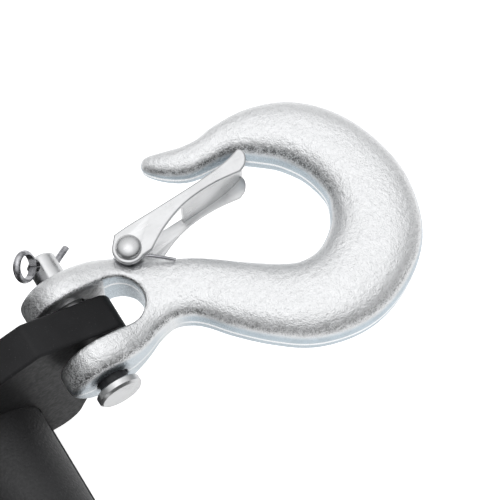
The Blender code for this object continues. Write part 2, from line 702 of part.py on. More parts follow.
def build_pawl_mount(low):
    head = low - GAP
    tail = SIDE_OUT + 9 * MM
    pin = turned("pawl_pin", [(0, tail), (PAWL_PIN_R - 0.6 * MM, tail), (PAWL_PIN_R, tail - 0.6 * MM),
                              (PAWL_PIN_R, head), (6.5 * MM, head), (6.5 * MM, head - 2 * MM),
                              (5.5 * MM, head - 3 * MM), (0, head - 3 * MM)], PAWL)
    finish(pin, "bright_zinc")
    hex_nut("pawl_nut", PAWL, SIDE_OUT + GAP, SIDE_OUT + 6.5 * MM, 13 * MM, PAWL_PIN_R + GAP)
    finish(pawl_spring(low + PAWL_THICK), "spring_steel")


def wire(name, points, radius, resolution=2):
    """A round wire through the points, as a mesh with closed ends."""
    curve = bpy.data.curves.new(name, "CURVE")
    curve.dimensions = "3D"
    curve.bevel_depth = radius
    curve.bevel_resolution = resolution
    curve.use_fill_caps = True
    spline = curve.splines.new("POLY")
    spline.points.add(len(points) - 1)
    for point, place in zip(spline.points, points):
        point.co = (*place, 1)
    guide = link(name + "_path", curve)
    bpy.context.view_layer.update()
    mesh = bpy.data.meshes.new_from_object(guide.evaluated_get(
        bpy.context.evaluated_depsgraph_get()))
    bpy.data.objects.remove(guide, do_unlink=True)
    bm = bmesh.new()
    bm.from_mesh(mesh)
    bpy.data.meshes.remove(mesh)
    bmesh.ops.remove_doubles(bm, verts=bm.verts, dist=0.000002)
    return mesh_object(name, bm, angle=60)


def pawl_spring(start):
    """A small torsion spring round the pawl's pin, between the pawl and the side plate."""
    thick = 0.35 * MM
    mean = PAWL_PIN_R + GAP + thick
    low = start + GAP + thick
    high = SIDE_IN - GAP - thick
    turns = 2.0
    count = 28
    points = [Vector((-12 * MM, low, -mean))]
    for i in range(count + 1):
        t = i / count
        angle = -math.pi / 2 + 2 * math.pi * turns * t
        points.append(Vector((mean * math.cos(angle), low + (high - low) * t, mean * math.sin(angle))))
    points.append(Vector((13 * MM, high, -mean)))
    return wire("pawl_spring", [PAWL + p for p in points], thick)


# ---------------------------------------------------------------- hook

# Middle line of the forging from the point, round the bowl and up the shank to the ears, seen
# from above and measured from the clevis pin: x, y, half width, half thickness, squareness.
HOOK_ROWS = [
    (42.4, 38.3, 1.2, 1.6, 2.2), (43.9, 37.4, 2.9, 3.6, 2.3), (48.7, 34.4, 4.5, 5.2, 2.5),
    (54.5, 31.8, 5.3, 6.2, 2.6), (61.0, 31.0, 5.3, 7.2, 2.7), (68.5, 31.2, 6.3, 8.2, 2.7),
    (77.7, 28.7, 8.8, 9.2, 2.7), (87.5, 23.0, 10.8, 9.8, 2.7), (94.8, 13.6, 11.8, 10.0, 2.7),
    (98.4, 1.8, 12.5, 10.0, 2.7), (98.0, -8.2, 13.5, 10.0, 2.7), (93.2, -19.0, 14.5, 10.0, 2.7),
    (84.2, -26.2, 14.4, 10.0, 2.7), (74.7, -29.3, 14.1, 10.0, 2.7), (64.2, -28.0, 13.3, 9.8, 2.7),
    (55.5, -23.1, 12.3, 9.4, 2.8), (47.0, -16.2, 11.3, 9.0, 2.9), (40.2, -9.8, 10.2, 8.6, 3.0),
    (34.7, -5.8, 9.9, 8.3, 3.1), (28.2, -2.9, 10.3, 8.1, 3.2), (22.0, -1.3, 12.7, 8.4, 3.4),
    (16.0, -0.4, 15.7, 9.5, 3.8), (10.0, 0.0, 17.5, 11.1, 4.4), (5.0, 0.0, 18.0, 12.3, 5.0),
    (0.0, 0.0, 18.0, 13.0, 5.0), (-5.0, 0.0, 18.0, 12.0, 5.0), (-9.0, 0.0, 17.7, 9.4, 4.4),
    (-12.0, 0.0, 16.8, 5.2, 3.6), (-13.2, 0.0, 15.6, 1.8, 2.6),
]


def hook_rings(steps, sides):
    """Cross-sections square to the middle line, as superellipses."""
    rows = smooth_path(HOOK_ROWS, steps)
    rings = []
    for i, (x, y, wide, tall, square) in enumerate(rows):
        x0, y0 = rows[max(i - 1, 0)][:2]
        x1, y1 = rows[min(i + 1, len(rows) - 1)][:2]
        across = Vector((y0 - y1, x1 - x0, 0)).normalized()
        ring = []
        for k in range(sides):
            c = math.cos(2 * math.pi * k / sides)
            s = math.sin(2 * math.pi * k / sides)
            u = math.copysign(abs(c) ** (2 / square), c) * wide
            v = math.copysign(abs(s) ** (2 / square), s) * tall
            ring.append(PIN + (Vector((x, y, 0)) + across * u + Vector((0, 0, v))) * MM)
        rings.append(ring)
    return rings


def build_hook():
    hook = skin("hook_body", hook_rings(1, 24))
    pivot_xy = (LATCH_PIVOT.x, LATCH_PIVOT.y)
    tab = hull_of_circles([(pivot_xy, 4.6 * MM), ((25 * MM, 2 * MM), 8 * MM)], 24)
    join(hook, plate("latch_tab", [tab], PIN, -TAB_HALF, TAB_HALF, flat=True))
    half = JAW_GAP / 2
    jaw = [(-30 * MM, -half)] + arc((JAW_ROOT_X, 0), half, -90, 90, 16) + [(-30 * MM, half)]
    cut(hook, plate("jaw_slot", [jaw], PIN, -20 * MM, 20 * MM, flat=True))
    cut(hook, cylinder("jaw_bore", PIN, "Y", -30 * MM, 30 * MM, PIN_BORE_R, sides=24))
    cut(hook, cylinder("latch_spring_seat", PIN + LATCH_PIVOT, "Z", TAB_HALF, 20 * MM,
                       LATCH_COIL_R + LATCH_WIRE_R + 2 * GAP))
    cut(hook, cylinder("latch_rivet_hole", PIN + LATCH_PIVOT, "Z", -20 * MM, 20 * MM, RIVET_R + GAP, sides=16))
    return finish(hook, "forged_zinc")


def build_clevis_pin():
    pin = turned("clevis_pin", [(0, PIN_END_Y), (PIN_R - MM, PIN_END_Y), (PIN_R, PIN_END_Y - MM),
                                (PIN_R, PIN_HEAD_Y), (PIN_HEAD_R - 0.5 * MM, PIN_HEAD_Y),
                                (PIN_HEAD_R, PIN_HEAD_Y - 0.5 * MM),
                                (PIN_HEAD_R, PIN_HEAD_Y - PIN_HEAD_THICK + 0.6 * MM),
                                (PIN_HEAD_R - 0.6 * MM, PIN_HEAD_Y - PIN_HEAD_THICK),
                                (0, PIN_HEAD_Y - PIN_HEAD_THICK)], PIN)
    hole = cylinder("cotter_hole", (0, 0, 0), "Z", -10 * MM, 10 * MM, COTTER_HOLE_R, sides=20)
    along = Vector((math.cos(COTTER_DIRECTION), 0, math.sin(COTTER_DIRECTION)))
    turn = Vector((0, 0, 1)).rotation_difference(along).to_matrix().to_4x4()
    hole.matrix_world = Matrix.Translation(PIN + Vector((0, COTTER_Y, 0))) @ turn
    cut(pin, hole)
    return finish(pin, "bright_zinc")


def build_cotter():
    """A split pin: an eye outside the hole and two half-round legs that spread on the far side."""
    along = Vector((math.cos(COTTER_DIRECTION), 0, math.sin(COTTER_DIRECTION)))
    aside = Matrix.Rotation(COTTER_TURN, 3, along) @ Vector((0, 1, 0))
    square = along.cross(aside)
    half = 1.3 * MM                 # half the width of the half-round wire
    offset = 0.12 * MM              # from the split to each leg's flat side
    neck = PIN_R + 0.8 * MM
    eye = neck + COTTER_EYE_R
    far = -(PIN_R + 2 * MM)
    loop = arc((eye, 0), COTTER_EYE_R, -158, 158, 16)
    half_path = [(far - 5 * MM, -5.5 * MM), (far, -1.2 * MM), (far + 1.5 * MM, -offset), (neck - 0.6 * MM, -offset)]
    path = half_path + loop + [(u, -v) for u, v in reversed(half_path)]
    middle = PIN + Vector((0, COTTER_Y, 0))
    rings = []
    for i, (u, v) in enumerate(path):
        before = path[max(i - 1, 0)]
        after = path[min(i + 1, len(path) - 1)]
        ahead = Vector((after[0] - before[0], after[1] - before[1]))
        ahead.normalize()
        outward = along * ahead.y - aside * ahead.x
        place = middle + along * u + aside * v
        ring = [place + square * half * math.cos(a) + outward * half * math.sin(a)
                for a in [math.pi * k / 6 for k in range(7)]]
        rings.append(ring)
    return finish(skin("cotter_pin", rings), "spring_steel")


# Edge of the latch's cheek seen from above, measured from the clevis pin, point end first.
LATCH_LOWER = [(65.7, 16.9), (57.7, 17.6), (49.7, 17.2), (42.7, 15.6), (35.7, 12.5), (29.6, 8.6)]
LATCH_UPPER = [(22.0, 18.6), (27.7, 19.2), (37.7, 19.7), (52.7, 20.7), (62.7, 22.0), (68.6, 23.8)]
LATCH_WEB_START = 46 * MM
LATCH_SPRING_LEG = [(34.6, 3.3, 7.1), (31.0, 5.9, 8.2), (27.3, 8.5, 8.65)]    # from the pin


def scaled(points):
    return [(x * MM, y * MM) for x, y in points]


def build_latch():
    """A sheet channel: two cheeks astride the hook and a web along the outer edge near its end."""
    eye = arc((LATCH_PIVOT.x, LATCH_PIVOT.y), 5.1 * MM, 300, 150, 12)
    tip = scaled([(69.6, 22.6), (68.4, 19.2)])
    outline = scaled(LATCH_LOWER) + eye + scaled(LATCH_UPPER) + tip
    half = LATCH_WIDTH / 2
    latch = plate("safety_latch", [outline], PIN, -half, half, flat=True)
    bevel(latch, 0.4 * MM, 1, angle=60)
    web = [(x * MM, y * MM - LATCH_SHEET) for x, y in LATCH_UPPER if x * MM > LATCH_WEB_START]
    edge = (LATCH_WEB_START, web[0][1] - 0.4 * MM)
    room = [(10 * MM, -5 * MM), (80 * MM, -5 * MM), (80 * MM, web[-1][1] + 2.8 * MM)] + web[::-1]
    room += [edge, (LATCH_WEB_START, 40 * MM), (10 * MM, 40 * MM)]
    inner = half - LATCH_SHEET
    cut(latch, plate("latch_room", [room], PIN, -inner, inner, flat=True))
    cut(latch, cylinder("latch_hole", PIN + LATCH_PIVOT, "Z", -20 * MM, 20 * MM, RIVET_R + GAP, sides=16))
    return finish(latch, "bright_zinc")


def build_rivet():
    half = LATCH_WIDTH / 2 + GAP
    head = 4 * MM
    rise = 2 * MM
    cap = [(head * math.sin(math.radians(a)), half + rise * math.cos(math.radians(a))) for a in (0, 25, 50, 70, 90)]
    profile = cap + [(RIVET_R, half), (RIVET_R, -half)] + [(r, -z) for r, z in reversed(cap)]
    return finish(turned("latch_rivet", profile, PIN + LATCH_PIVOT, axis="Z"), "bright_zinc")


def build_latch_spring():
    """A torsion spring round the rivet: its upper leg bears on the shank, its lower one lies in the latch."""
    thick = LATCH_WIRE_R
    mean = LATCH_COIL_R
    low = TAB_HALF + GAP + thick
    high = LATCH_WIDTH / 2 - LATCH_SHEET - GAP - thick
    turns = 2.43
    count = 36
    start = math.radians(255)
    points = [Vector((x * MM, y * MM, z * MM)) - LATCH_PIVOT for x, y, z in LATCH_SPRING_LEG]
    for i in range(count + 1):
        t = i / count
        angle = start - 2 * math.pi * turns * t
        points.append(Vector((mean * math.cos(angle), mean * math.sin(angle), high + (low - high) * t)))
    points.append(points[-1] + Vector((9 * MM, 1.8 * MM, 0)))
    return finish(wire("latch_spring", [PIN + LATCH_PIVOT + p for p in points], thick), "spring_steel")


# ---------------------------------------------------------------- assembly

def main():
    clear_scene()
    build_base()
    build_side("side_plate_left", 1)
    build_side("side_plate_right", -1)
    build_anchor()
    build_tube()
    build_frame_bolts()
    build_drum()
    build_crank()
    build_grip()
    build_pawl()
    build_hook()
    build_clevis_pin()
    build_cotter()
    build_latch()
    build_rivet()
    build_latch_spring()
    parts = bpy.data.objects
    pivot("drum_axis", DRUM, [parts[n] for n in (
        "drum_hub", "drum_bush_left", "drum_bush_right", "drum_flange_left", "drum_flange_right",
        "drum_gear", "strap_bolt", "strap_bolt_nut")])
    crank = pivot("crank_axis", SHAFT, [parts[n] for n in (
        "crank_shaft", "pinion_gear", "ratchet_wheel", "shaft_retaining_ring", "crank_spacer",
        "crank_arm", "crank_washer", "crank_nut", "grip_axle", "grip_washer", "grip_cap_nut")])
    grip = pivot("grip_axis", GRIP, [parts["handle_grip"]])
    pivot("pawl_axis", PAWL, [parts["ratchet_pawl"]])
    hook = pivot("hook_axis", PIN, [parts[n] for n in (
        "hook_body", "clevis_pin", "cotter_pin", "latch_rivet", "latch_spring")])
    latch = pivot("latch_axis", PIN + LATCH_PIVOT, [parts["safety_latch"]])
    for child, mother in ((grip, crank), (latch, hook)):
        child.parent = mother
        child.matrix_parent_inverse = Matrix.Translation(mother.location).inverted()


main()
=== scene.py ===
"""Fine pieces, finishes, floor, light and camera for a geared boat trailer winch with a forged slip hook.

Metres, +Z up, +X towards the hook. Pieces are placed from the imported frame's own nodes.
"""
import json
import math

import bmesh
import bpy
from bpy.props import FloatProperty, FloatVectorProperty, PointerProperty
from mathutils import Matrix, Vector

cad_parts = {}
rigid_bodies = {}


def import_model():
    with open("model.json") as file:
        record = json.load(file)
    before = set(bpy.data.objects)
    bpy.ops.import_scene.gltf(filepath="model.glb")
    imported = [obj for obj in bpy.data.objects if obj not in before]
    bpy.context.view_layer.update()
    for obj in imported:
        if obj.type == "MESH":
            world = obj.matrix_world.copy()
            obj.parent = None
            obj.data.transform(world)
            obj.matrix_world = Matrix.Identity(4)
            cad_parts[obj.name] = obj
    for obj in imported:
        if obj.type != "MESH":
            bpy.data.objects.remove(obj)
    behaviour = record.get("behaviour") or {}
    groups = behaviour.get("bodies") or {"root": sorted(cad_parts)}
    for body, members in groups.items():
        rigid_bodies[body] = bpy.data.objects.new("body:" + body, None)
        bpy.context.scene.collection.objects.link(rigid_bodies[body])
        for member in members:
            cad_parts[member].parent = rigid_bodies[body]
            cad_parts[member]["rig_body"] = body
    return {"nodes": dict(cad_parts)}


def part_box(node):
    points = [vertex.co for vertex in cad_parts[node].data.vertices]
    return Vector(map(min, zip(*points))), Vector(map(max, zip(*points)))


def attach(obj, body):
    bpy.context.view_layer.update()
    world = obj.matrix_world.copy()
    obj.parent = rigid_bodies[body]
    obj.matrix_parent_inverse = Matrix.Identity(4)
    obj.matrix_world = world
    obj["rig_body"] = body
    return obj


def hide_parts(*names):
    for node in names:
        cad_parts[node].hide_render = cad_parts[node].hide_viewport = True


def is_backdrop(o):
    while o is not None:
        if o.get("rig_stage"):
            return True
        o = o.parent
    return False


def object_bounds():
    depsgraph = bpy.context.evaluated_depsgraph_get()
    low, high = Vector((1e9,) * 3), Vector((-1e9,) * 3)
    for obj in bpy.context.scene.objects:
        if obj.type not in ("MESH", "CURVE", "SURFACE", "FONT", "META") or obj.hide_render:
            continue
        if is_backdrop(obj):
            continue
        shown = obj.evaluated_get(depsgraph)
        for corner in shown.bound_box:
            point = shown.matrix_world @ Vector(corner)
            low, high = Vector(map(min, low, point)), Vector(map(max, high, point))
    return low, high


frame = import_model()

bl_info = {
    "name": "Geared Trailer Winch",
    "version": (1, 0, 0),
    "blender": (4, 5, 0),
    "location": "3D View > Sidebar > Winch",
    "description": "Builds the finished pieces of a geared trailer winch and its slip hook",
    "category": "Object",
}

MM = 0.001
GAP = 0.3 * MM                      # left between pieces that lie against each other
PAST = 5 * MM                       # how far a drill runs beyond the faces that it goes through
SIDEWAYS = (0, 1, 0)                # the winch's own cross axis: all its shafts and bolts lie along it
M8, M10, M12 = 4 * MM, 5 * MM, 6 * MM       # the bolts' radii
RIVET_HOLE = 2.8 * MM
GRIP_STEM = 4.5 * MM                # radius of the grip's axle
CRANK_STEM = 5.5 * MM               # radius of the crank shaft's threaded end
BUSH_BARREL = 9.5 * MM              # radius of the side plates' bores for the shaft bushes


def middle(node):
    low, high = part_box(node)
    return (Vector(low) + Vector(high)) / 2


def span(node):
    low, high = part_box(node)
    return Vector(high) - Vector(low)


def ends(node):
    """Where a node starts and stops along the cross axis."""
    return [corner[1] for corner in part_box(node)]


SLOTS = {name: obj.data.materials[0].name.split(".")[0] for name, obj in frame["nodes"].items()}
RIVET_AT = middle("latch_rivet")
PIN = Vector((middle("clevis_pin").x, 0, middle("clevis_pin").z))
TUBE = middle("cross_tube")


def flat(place):
    """The same place on the middle plane."""
    return Vector((place.x, 0, place.z))


def xz(place):
    return (place.x, place.z)


def fade(value, start, width):
    """0 up to start, then rising to 1 over width."""
    return min(1, max(0, (value - start) / width))


DRUM = flat(middle("drum_axle_bolt"))
SHAFT = flat(middle("crank_shaft"))
PAWL = flat(middle("pawl_pin"))
REAR_TIE = flat(middle("rear_tie_bolt"))
GRIP = flat(middle("grip_axle"))


# ---------------------------------------------------------------- sizes and finishes

def length(name, description, default):
    return FloatProperty(name=name, description=description, default=default, min=0, unit="LENGTH")


def share(name, description, default):
    return FloatProperty(name=name, description=description, default=default, min=0, max=1, subtype="FACTOR")


def colour(name, description, default):
    return FloatVectorProperty(name=name, description=description, default=default, size=3, min=0, max=1,
                               subtype="COLOR")


class WinchSizes(bpy.types.PropertyGroup):
    jaw_gap: length("Jaw gap", "Width of the slot between the hook's two ears", 16 * MM)
    jaw_root: length("Jaw root", "How far the slot's round root lies from the pin", 12.7 * MM)
    pin_bore: length("Pin bore", "Radius of the bore through the ears and the anchor plate", 5.1 * MM)
    pin_radius: length("Pin radius", "Radius of the clevis pin", span("clevis_pin").x / 2 * 4.75 / 7.2)
    latch_sheet: length("Latch sheet", "Thickness of the latch's sheet", 1.5 * MM)
    latch_width: length("Latch width", "Width over the latch's two cheeks", span("safety_latch").z)
    spring_wire: length("Spring wire", "Radius of the latch spring's wire", 0.55 * MM)
    pawl_wire: length("Pawl wire", "Radius of the pawl spring's wire", 0.35 * MM)
    grain: length("Skin grain", "Voxel size used to blend the forging's edges", 0.6 * MM)
    tube_radius: length("Tube radius", "Outer radius of the cross tube", span("cross_tube").x / 2)
    plate_edge: length("Plate edge", "Rounding of the anchor plate's edges", 0.9 * MM)


class WinchFinishes(bpy.types.PropertyGroup):
    zinc: colour("Zinc", "Colour of the blasted zinc skin", (0.88, 0.885, 0.89))
    # The trimmed band's darker bluish colour is partly a painted reflection of the floor.
    zinc_trim_reflection: colour("Trimmed zinc", "Colour of the trimmed band on the forging's sides", (0.45, 0.52, 0.57))
    coat: colour("Black coat", "Colour of the powder coat", (0.021, 0.021, 0.022))
    steel: colour("Dark steel", "Colour of the bare gears and shaft", (0.34, 0.34, 0.35))
    bronze: colour("Bronze", "Colour of the bushes", (0.58, 0.38, 0.19))
    rubber: colour("Rubber", "Colour of the grip", (0.022, 0.022, 0.024))
    zinc_roughness: share("Zinc roughness", "Roughness of the blasted zinc", 0.40)


def sizes():
    return bpy.context.scene.winch_sizes


def finishes():
    return bpy.context.scene.winch_finishes


# ---------------------------------------------------------------- modelling helpers

def deselect():
    if bpy.context.object and bpy.context.object.mode != "OBJECT":
        bpy.ops.object.mode_set(mode="OBJECT")
    bpy.ops.object.select_all(action="DESELECT")


def only(obj):
    deselect()
    obj.select_set(True)
    bpy.context.view_layer.objects.active = obj


def placed(obj, matrix):
    """Turns and moves a piece and keeps the result in its mesh."""
    only(obj)
    obj.matrix_world = matrix
    bpy.ops.object.transform_apply(location=True, rotation=True, scale=True)
    return obj


def upright(at, axis):
    """The matrix that stands a piece drawn along +Z at a place, along an axis."""
    turn = Vector((0, 0, 1)).rotation_difference(Vector(axis)).to_matrix().to_4x4()
    return Matrix.Translation(Vector(at)) @ turn


def tidy_mesh(obj, angle=35, merge=0.01 * MM):
    only(obj)
    bpy.ops.object.mode_set(mode="EDIT")
    bpy.ops.mesh.select_all(action="SELECT")
    bpy.ops.mesh.remove_doubles(threshold=merge)
    bpy.ops.mesh.normals_make_consistent(inside=False)
    bpy.ops.object.mode_set(mode="OBJECT")
    bpy.ops.object.shade_smooth_by_angle(angle=math.radians(angle))
    return obj


def apply(obj, kind, **settings):
    only(obj)
    modifier = obj.modifiers.new(kind.title(), kind)
    for key, value in settings.items():
        setattr(modifier, key, value)
    bpy.ops.object.modifier_apply(modifier=modifier.name)
    return obj


def cut(obj, *tools):
    for tool in tools:
        apply(obj, "BOOLEAN", operation="DIFFERENCE", solver="EXACT", object=tool)
        bpy.data.objects.remove(tool, do_unlink=True)
    return obj


def join(obj, tool):
    apply(obj, "BOOLEAN", operation="UNION", solver="EXACT", object=tool)
    bpy.data.objects.remove(tool, do_unlink=True)
    return obj


def soften(obj, width, segments=3, angle=35, merge=0.01 * MM):
    """Rounds the sharp edges and shades the rest smooth."""
    apply(obj, "BEVEL", width=width, segments=segments, limit_method="ANGLE",
          angle_limit=math.radians(angle), use_clamp_overlap=True)
    return tidy_mesh(obj, angle, merge)


def turned(name, profile, at=(0, 0, 0), axis=(0, 0, 1), sides=64, angle=35):
    """A ring extruded and resized along (radius, height) steps, closed at the axis or on its first ring."""
    deselect()
    radius, height = profile[0]
    start = max(radius, 0.01 * MM)
    bpy.ops.mesh.primitive_circle_add(vertices=sides, radius=start, location=(0, 0, 0))
    obj = bpy.context.object
    obj.name = name
    bpy.ops.object.mode_set(mode="EDIT")
    bpy.ops.mesh.select_all(action="SELECT")
    bpy.ops.transform.translate(value=(0, 0, height))
    if radius == 0:
        bpy.ops.mesh.edge_face_add()
    for next_radius, next_height in profile[1:]:
        end = max(next_radius, 0.01 * MM)
        bpy.ops.mesh.extrude_region_move(TRANSFORM_OT_translate={"value": (0, 0, next_height - height)})
        bpy.ops.transform.resize(value=(end / start, end / start, 1), center_override=(0, 0, next_height))
        start, height = end, next_height
    bpy.ops.object.mode_set(mode="OBJECT")
    tidy_mesh(obj, angle)
    return placed(obj, upright(at, axis))


def outlined(name, points, low, high, at=(0, 0, 0), along="Z"):
    """A closed outline drawn from a filled ring, then extruded. Y plates take (x, z) points."""
    deselect()
    bpy.ops.mesh.primitive_circle_add(vertices=len(points), radius=10 * MM, fill_type="NGON",
                                      location=(0, 0, 0))
    obj = bpy.context.object
    obj.name = name
    for vertex, (x, y) in zip(obj.data.vertices, points):
        vertex.co = (x, y, low)
    bpy.ops.object.mode_set(mode="EDIT")
    bpy.ops.mesh.select_all(action="SELECT")
    bpy.ops.mesh.extrude_region_move(TRANSFORM_OT_translate={"value": (0, 0, high - low)})
    bpy.ops.mesh.select_all(action="SELECT")
    bpy.ops.mesh.normals_make_consistent(inside=False)
    bpy.ops.object.mode_set(mode="OBJECT")
    turn = Matrix.Identity(4)
    if along == "Y":
        turn = Matrix(((1, 0, 0, 0), (0, 0, 1, 0), (0, 1, 0, 0), (0, 0, 0, 1)))
    obj = placed(obj, Matrix.Translation(Vector(at)) @ turn)
    return tidy_mesh(obj)


def peg(name, at, axis, low, high, radius, sides=48):
    """A plain round tool for cutting holes."""
    return turned(name, [(0, low), (radius, low), (radius, high), (0, high)], at, axis, sides)


def drill(obj, at, low, high, radius):
    """Bores a round hole along the cross axis, right through."""
    return cut(obj, peg("drill", at, SIDEWAYS, low - PAST, high + PAST, radius))


def skinned(name, rings):
    """A closed tube of faces over rings of points, capped at both ends."""
    mesh = bpy.data.meshes.new(name)
    build = bmesh.new()
    rows = [[build.verts.new(p) for p in ring] for ring in rings]
    count = len(rows[0])
    for a, b in zip(rows, rows[1:]):
        for k in range(count):
            build.faces.new((a[k], a[(k + 1) % count], b[(k + 1) % count], b[k]))
    build.faces.new(rows[0][::-1])
    build.faces.new(rows[-1])
    bmesh.ops.recalc_face_normals(build, faces=build.faces)
    build.to_mesh(mesh)
    build.free()
    obj = bpy.data.objects.new(name, mesh)
    bpy.context.scene.collection.objects.link(obj)
    return obj


def arc(centre, radius, start, end, count):
    return [(centre[0] + radius * math.cos(math.radians(start + (end - start) * k / count)),
             centre[1] + radius * math.sin(math.radians(start + (end - start) * k / count)))
            for k in range(count + 1)]


def dome(radius, rise, base, step=9):
    """(radius, height) steps over a dome, from its crown to its rim."""
    return [(radius * math.sin(math.radians(a)), base + rise * math.cos(math.radians(a)))
            for a in range(0, 91, step)]


def coil(mean, start, turns, first, last, count):
    """(x, y, height) places of a wound wire."""
    out = []
    for i in range(count + 1):
        t = i / count
        angle = math.radians(start) + 2 * math.pi * turns * t
        out.append((mean * math.cos(angle), mean * math.sin(angle), first + (last - first) * t))
    return out


def hull(circles, count=96):
    """The outline of a belt round several (centre, radius) circles."""
    points = sorted({p for centre, radius in circles for p in arc(centre, radius, 0, 360, count)[:-1]})

    def half(row):
        out = []
        for p in row:
            while len(out) > 1 and ((out[-1][0] - out[-2][0]) * (p[1] - out[-2][1])
                                    - (out[-1][1] - out[-2][1]) * (p[0] - out[-2][0])) <= 0:
                out.pop()
            out.append(p)
        return out[:-1]
    return half(points) + half(points[::-1])


def smooth_path(rows, steps):
    """Catmull-Rom rows between the given rows, both ends kept."""
    out = []
    for i in range(len(rows) - 1):
        before, after = rows[max(i - 1, 0)], rows[min(i + 2, len(rows) - 1)]
        for k in range(steps):
            t = k / steps
            out.append(tuple(0.5 * (2 * b + (c - a) * t + (2 * a - 5 * b + 4 * c - d) * t * t
                                    + (3 * b - a - 3 * c + d) * t ** 3)
                             for a, b, c, d in zip(before, rows[i], rows[i + 1], after)))
    return out + [rows[-1]]


def dress(obj, material):
    obj.data.materials.clear()
    obj.data.materials.append(material)
    return obj


def finished(obj, node, material=None):
    """Puts a piece in a node's place: same body, and the finish of the node's slot unless another is given."""
    source = frame["nodes"][node]
    slot = SLOTS[node]
    dress(obj, material or FINISH_OF_SLOT[slot]())
    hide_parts(node)
    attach(obj, source["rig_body"])
    return obj


def spun(node, profile, at, sides=64, angle=35):
    """A node's piece, turned about the cross axis."""
    return finished(turned("fine_" + node, profile, at, SIDEWAYS, sides, angle), node)


# ---------------------------------------------------------------- materials

class Nodes:
    """Short words for wiring a material."""

    def __init__(self, name):
        name = "fine_" + name
        self.material = bpy.data.materials.get(name)
        self.fresh = self.material is None
        if self.fresh:
            self.material = bpy.data.materials.new(name)
            self.material.use_nodes = True
            self.tree = self.material.node_tree
            self.shader = self.tree.nodes["Principled BSDF"]
            self.place = self.tree.nodes.new("ShaderNodeTexCoord").outputs["Object"]

    def put(self, socket, value):
        if isinstance(value, bpy.types.NodeSocket):
            self.tree.links.new(value, socket)
        elif value is not None:
            socket.default_value = value

    def set(self, **values):
        for key, value in values.items():
            self.put(self.shader.inputs[key.replace("_", " ")], value)

    def noise(self, size, detail=3.0, rough=0.5, stretch=None):
        node = self.tree.nodes.new("ShaderNodeTexNoise")
        place = self.place
        if stretch:
            mapping = self.tree.nodes.new("ShaderNodeMapping")
            mapping.inputs["Scale"].default_value = stretch
            self.put(mapping.inputs["Vector"], place)
            place = mapping.outputs["Vector"]
        self.put(node.inputs["Vector"], place)
        self.put(node.inputs["Scale"], 1 / size)
        self.put(node.inputs["Detail"], detail)
        self.put(node.inputs["Roughness"], rough)
        return node.outputs["Fac"]

    def ramp(self, source, low, high, start=0.0, end=1.0):
        """source between low and high becomes start to end."""
        node = self.tree.nodes.new("ShaderNodeMapRange")
        node.interpolation_type = "SMOOTHSTEP"
        for key, value in (("Value", source), ("From Min", low), ("From Max", high), ("To Min", start),
                           ("To Max", end)):
            self.put(node.inputs[key], value)
        return node.outputs["Result"]

    def maths(self, kind, a, b=None):
        node = self.tree.nodes.new("ShaderNodeMath")
        node.operation = kind
        self.put(node.inputs[0], a)
        self.put(node.inputs[1], b)
        return node.outputs[0]

    def blend(self, factor, a, b, kind="MIX"):
        node = self.tree.nodes.new("ShaderNodeMix")
        node.data_type = "RGBA"
        node.blend_type = kind
        self.put(node.inputs["Factor"], factor)
        self.put(node.inputs["A"], (*a, 1) if isinstance(a, tuple) else a)
        self.put(node.inputs["B"], (*b, 1) if isinstance(b, tuple) else b)
        return node.outputs["Result"]

    def bump(self, height, depth, normal=None, strength=1.0):
        node = self.tree.nodes.new("ShaderNodeBump")
        self.put(node.inputs["Height"], height)
        self.put(node.inputs["Distance"], depth)
        self.put(node.inputs["Strength"], strength)
        self.put(node.inputs["Normal"], normal)
        return node.outputs["Normal"]

    def attribute(self, name):
        node = self.tree.nodes.new("ShaderNodeAttribute")
        node.attribute_name = name
        return node.outputs["Fac"]


def shade(rgb, factor):
    return tuple(min(1.0, c * factor) for c in rgb)


def forged_zinc():
    """Blasted zinc over a forging: bright sparkling grain, smoother where the flash was trimmed and darker and
    cooler there, that tone partly a painted reflection of the floor; the grain's specks are darkened as
    painted shade on the flanks that face away from the light.
    """
    n = Nodes("forged_zinc")
    if not n.fresh:
        return n.material
    f = finishes()
    zinc, trim_and_reflection = tuple(f.zinc), tuple(f.zinc_trim_reflection)
    band = n.attribute("trim_and_reflection")
    line = n.attribute("parting")
    flank_shade = n.attribute("flank_shade")
    grain = n.noise(0.45 * MM, 2.0, 0.6)
    pits = n.noise(1.4 * MM, 3.0, 0.6)
    lumps = n.noise(6 * MM, 2.0, 0.5)
    bare = n.maths("SUBTRACT", 1.0, n.maths("MULTIPLY", band, 0.9))
    speck = n.maths("ADD", n.maths("MULTIPLY", grain, 0.62), n.maths("MULTIPLY", pits, 0.38))
    tone = n.ramp(speck, 0.38, 0.5, 0.9, 1.0)
    # Specks pushed far darker and used only on the flanks: painted shade.
    shaded_speck = n.ramp(speck, 0.455, 0.525, 0.28, 1.0)
    # The trimmed band's tone: smoother trimmed zinc, darkened and cooled as a painted reflection of the floor.
    trim_reflection_tone = n.blend(n.ramp(lumps, 0.35, 0.65), trim_and_reflection, shade(trim_and_reflection, 1.1))
    skin = n.blend(line, n.blend(band, zinc, trim_reflection_tone), shade(zinc, 1.12))
    n.set(Base_Color=n.blend(1.0, skin, n.blend(flank_shade, tone, shaded_speck), "MULTIPLY"), Metallic=1.0)
    rough = n.ramp(grain, 0.35, 0.65, f.zinc_roughness - 0.06, f.zinc_roughness + 0.08)
    n.set(Roughness=n.maths("SUBTRACT", rough, n.maths("MULTIPLY", band, 0.1)))
    heavy = n.bump(lumps, 1.0 * MM, strength=0.3)
    coarse = n.bump(n.maths("MULTIPLY", pits, bare), 0.40 * MM, heavy, 0.75)
    n.set(Normal=n.bump(n.maths("MULTIPLY", grain, bare), 0.22 * MM, coarse, 0.9))
    return n.material


